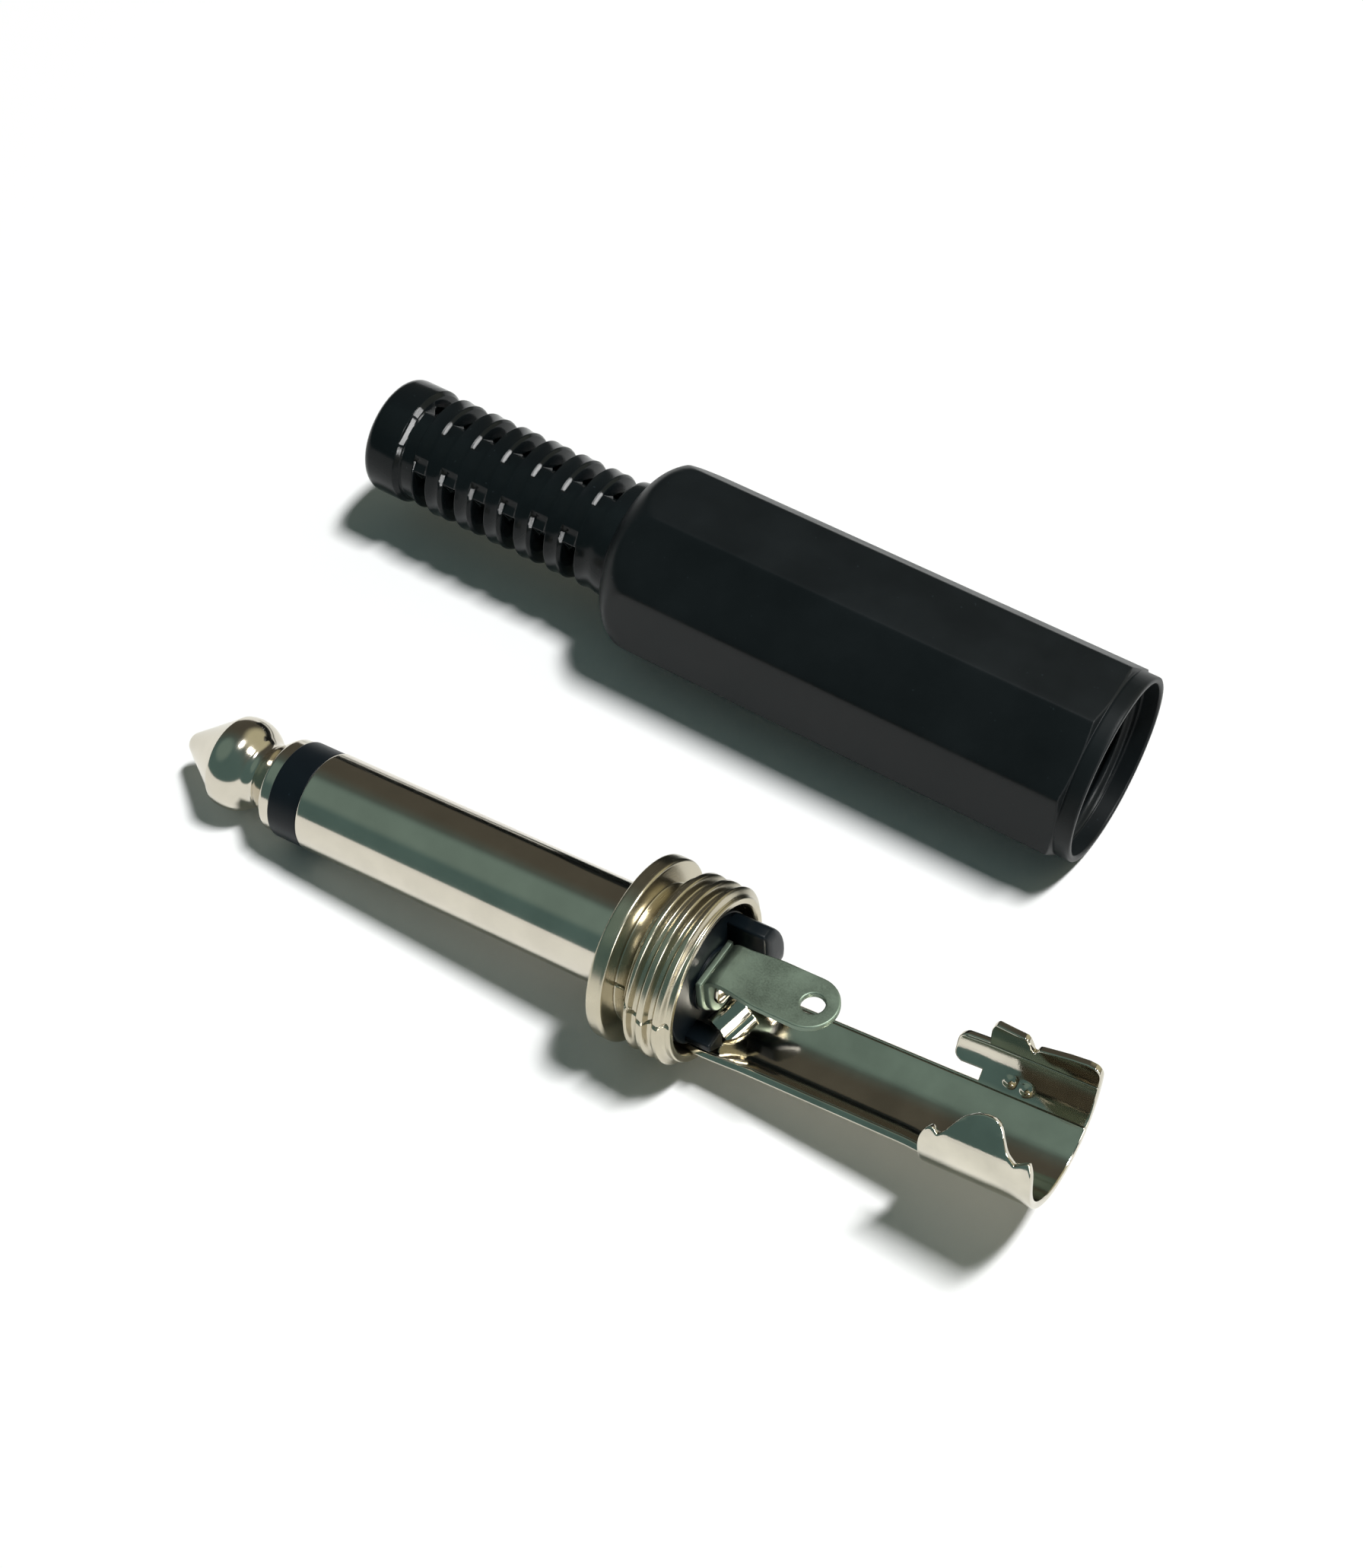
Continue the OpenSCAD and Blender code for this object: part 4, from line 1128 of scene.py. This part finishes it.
class JACKPLUG_OT_lug(bpy.types.Operator):
    """Build the solder lug and its washer"""
    bl_idname = "jackplug.lug"
    bl_label = "Build Solder Lug"

    def execute(self, context):
        s = plug_sizes(context)
        tinned = finish_material("tinned_sheet", context)
        lug = plug_piece("solder_lug", lug_shell(s), tinned, "tip_lug")
        # Keeps the lug's image out of the mirror-like trough below it
        lug.visible_glossy = False
        plug_piece("foot_washer", washer_shell(s), tinned, "lug_washer")
        return {"FINISHED"}


class JACKPLUG_OT_clamp(bpy.types.Operator):
    """Build the cable clamp with its crimp ears"""
    bl_idname = "jackplug.clamp"
    bl_label = "Build Cable Clamp"

    def execute(self, context):
        s = plug_sizes(context)
        plug_piece("crimp_clamp", clamp_shell(s), finish_material("nickel_sheet", context), "cable_clamp")
        return {"FINISHED"}


class JACKPLUG_OT_handle(bpy.types.Operator):
    """Build the moulded handle with its slotted boot"""
    bl_idname = "jackplug.handle"
    bl_label = "Build Handle"

    def execute(self, context):
        make_piece("screw_handle", handle_shell(handle_sizes(context)), HANDLE_AXES, HANDLE_ORIGIN,
                   finish_material("black_moulded_plastic", context), "handle")
        return {"FINISHED"}


# Lamps as name, direction, width and height, with the pieces that a card reaches. A card shows only in
# mirror-like surfaces.
LAMPS = (
    ("overhead_panel", (0.26, 0.17, 0.95), 0.16, 0.36, None),
    ("side_card", (0.82, -0.26, 0.42), 0.9, 0.28,
     ("screw_collar", "solder_lug", "foot_washer", "lug_insulator", "crimp_clamp")),
    ("glint_card", (0.73, 0.24, 0.64), 0.3, 0.3,
     ("tip_contact", "sleeve_contact", "solder_lug", "crimp_clamp", "screw_handle")),
    ("spark_card", (0.785, -0.255, 0.565), 0.26, 0.26, ("screw_handle",)),
    ("low_card", (0.75, -0.647, 0.139), 0.15, 0.17, ("screw_handle",)))
LAMP_DISTANCE = 1.6


def area_lamp(name, direction, width, height, light):
    """Soft panel in a direction from the origin, as bright as gives the floor that light. Its height
    runs along Y as far as its direction allows."""
    toward = unit_vector(direction)
    lamp = bpy.data.lights.new(name, "AREA")
    lamp.shape = "RECTANGLE"
    lamp.size = width
    lamp.size_y = height
    lamp.energy = light * math.pi * math.pi * LAMP_DISTANCE ** 2 / toward[2]
    panel = bpy.data.objects.new(name, lamp)
    side = unit_vector(np.cross([0, 1, 0], toward))
    turn = Matrix(np.stack([side, np.cross(toward, side), toward], axis=-1).tolist()).to_4x4()
    panel.matrix_world = Matrix.Translation((toward * LAMP_DISTANCE).tolist()) @ turn
    bpy.context.scene.collection.objects.link(panel)
    return panel


def reach_only(card, names):
    """Lets a card show only in the mirror-like surfaces of the named pieces."""
    card.visible_diffuse = False
    receivers = bpy.data.collections.new(f"{card.name}_pieces")
    for name in names:
        receivers.objects.link(bpy.data.objects[name])
    card.light_linking.receiver_collection = receivers


def room_world(strength):
    """Dim room: neutral dark behind, greenish grey towards the camera's left with a lighter patch high up
    there and a warm one high behind, and white for the camera. Its strength counts on dull surfaces only."""
    world = bpy.data.worlds.new("soft_room")
    tree = cleared_tree(world)
    toward = add_node(tree, "TexCoord", "Generated")
    sky = (0.092, 0.086, 0.070, 1)
    for direction, low, high, tone in (((-0.1, -1.0, 0.25), -0.35, 0.5, (0.095, 0.160, 0.158, 1)),
                                       ((-0.42, -0.32, 0.85), 0.84, 0.96, (0.18, 0.26, 0.24, 1)),
                                       ((0.46, 0.70, 0.55), 0.74, 0.95, (0.60, 0.57, 0.40, 1))):
        facing = add_node(tree, "VectorMath", "Value",
                          {0: toward, 1: unit_vector(direction).tolist()}, operation="DOT_PRODUCT")
        patch = add_node(tree, "MapRange", "Result", {"Value": facing, "From Min": low, "From Max": high},
                         interpolation_type="SMOOTHSTEP")
        sky = add_node(tree, "Mix", 2, {"Factor": patch, 6: sky, 7: tone}, data_type="RGBA")
    path = add_node(tree, "LightPath").outputs
    shown = add_node(tree, "Mix", 2, {"Factor": path["Is Camera Ray"], 6: sky, 7: (1, 1, 1, 1)},
                     data_type="RGBA")
    seen = add_node(tree, "Math", "Value", {0: path["Is Camera Ray"], 1: path["Is Glossy Ray"]},
                    operation="MAXIMUM")
    power = add_node(tree, "MapRange", "Result", {"Value": seen, "To Min": strength})
    back = add_node(tree, "Background", "Background", {"Color": shown, "Strength": power})
    add_node(tree, "OutputWorld", None, {"Surface": back})
    return world


def add_camera(stage):
    """Camera at the photograph's place, angle and lens."""
    a, e, roll = stage.azimuth, stage.elevation, stage.roll
    forward = np.array([-math.sin(a) * math.cos(e), math.cos(a) * math.cos(e), -math.sin(e)])
    level = np.array([math.cos(a), math.sin(a), 0])
    right = level * math.cos(roll) + np.cross(level, forward) * math.sin(roll)
    up = np.cross(right, forward)
    data = bpy.data.cameras.new("camera")
    data.sensor_width = 36
    data.lens = stage.lens
    data.clip_start = 0.005
    camera = bpy.data.objects.new("camera", data)
    turn = Matrix(np.stack([right, up, -forward], axis=-1).tolist()).to_4x4()
    camera.matrix_world = Matrix.Translation(stage.eye) @ turn
    bpy.context.scene.collection.objects.link(camera)
    bpy.context.scene.camera = camera


class JACKPLUG_OT_stage(bpy.types.Operator):
    """Build the floor, the light and the camera"""
    bl_idname = "jackplug.stage"
    bl_label = "Build Stage"

    def execute(self, context):
        scene = context.scene
        stage = scene.jack_stage
        half = 2.0
        mesh = bpy.data.meshes.new("floor")
        mesh.from_pydata([(-half, -half, 0), (half, -half, 0), (half, half, 0), (-half, half, 0)], [],
                         [(0, 1, 2, 3)])
        mesh.materials.append(floor_material(tuple(stage.floor)))
        floor = bpy.data.objects.new("floor", mesh)
        scene.collection.objects.link(floor)
        scene.world = room_world(stage.ambient)
        for name, direction, width, height, pieces in LAMPS:
            lamp = area_lamp(name, direction, width, height, getattr(stage, name.split("_")[0]))
            if pieces:
                reach_only(lamp, pieces)
        add_camera(stage)
        scene.view_settings.view_transform = "Standard"
        return {"FINISHED"}


class JACKPLUG_PT_sidebar(bpy.types.Panel):
    """Lists the steps and the values behind them"""
    bl_label = "Jack Plug"
    bl_idname = "JACKPLUG_PT_sidebar"
    bl_space_type = "VIEW_3D"
    bl_region_type = "UI"
    bl_category = "Jack Plug"

    def draw(self, context):
        layout = self.layout
        for operator in OPERATORS:
            layout.operator(operator.bl_idname)
        for name in POINTERS:
            group = getattr(context.scene, name)
            box = layout.box()
            box.label(text=group.bl_rna.description)
            for key in group.bl_rna.properties.keys():
                if key not in ("rna_type", "name"):
                    box.prop(group, key)


OPERATORS = (JACKPLUG_OT_contacts, JACKPLUG_OT_collar, JACKPLUG_OT_lug, JACKPLUG_OT_clamp,
             JACKPLUG_OT_handle, JACKPLUG_OT_stage)
POINTERS = {"jack_plug": PlugSizes, "jack_handle": HandleSizes, "jack_finishes": Finishes,
            "jack_stage": StageSettings}
CLASSES = (*POINTERS.values(), *OPERATORS, JACKPLUG_PT_sidebar)


def register():
    """Register the classes and hang the property groups on the scene."""
    for item in CLASSES:
        bpy.utils.register_class(item)
    for name, group in POINTERS.items():
        setattr(bpy.types.Scene, name, bpy.props.PointerProperty(type=group))


def unregister():
    """Undo register."""
    for name in POINTERS:
        delattr(bpy.types.Scene, name)
    for item in reversed(CLASSES):
        bpy.utils.unregister_class(item)


def main():
    """Register the classes, then build every piece and the stage."""
    register()
    bpy.ops.jackplug.contacts()
    bpy.ops.jackplug.collar()
    bpy.ops.jackplug.lug()
    bpy.ops.jackplug.clamp()
    bpy.ops.jackplug.handle()
    bpy.ops.jackplug.stage()


if __name__ == "__main__":
    main()
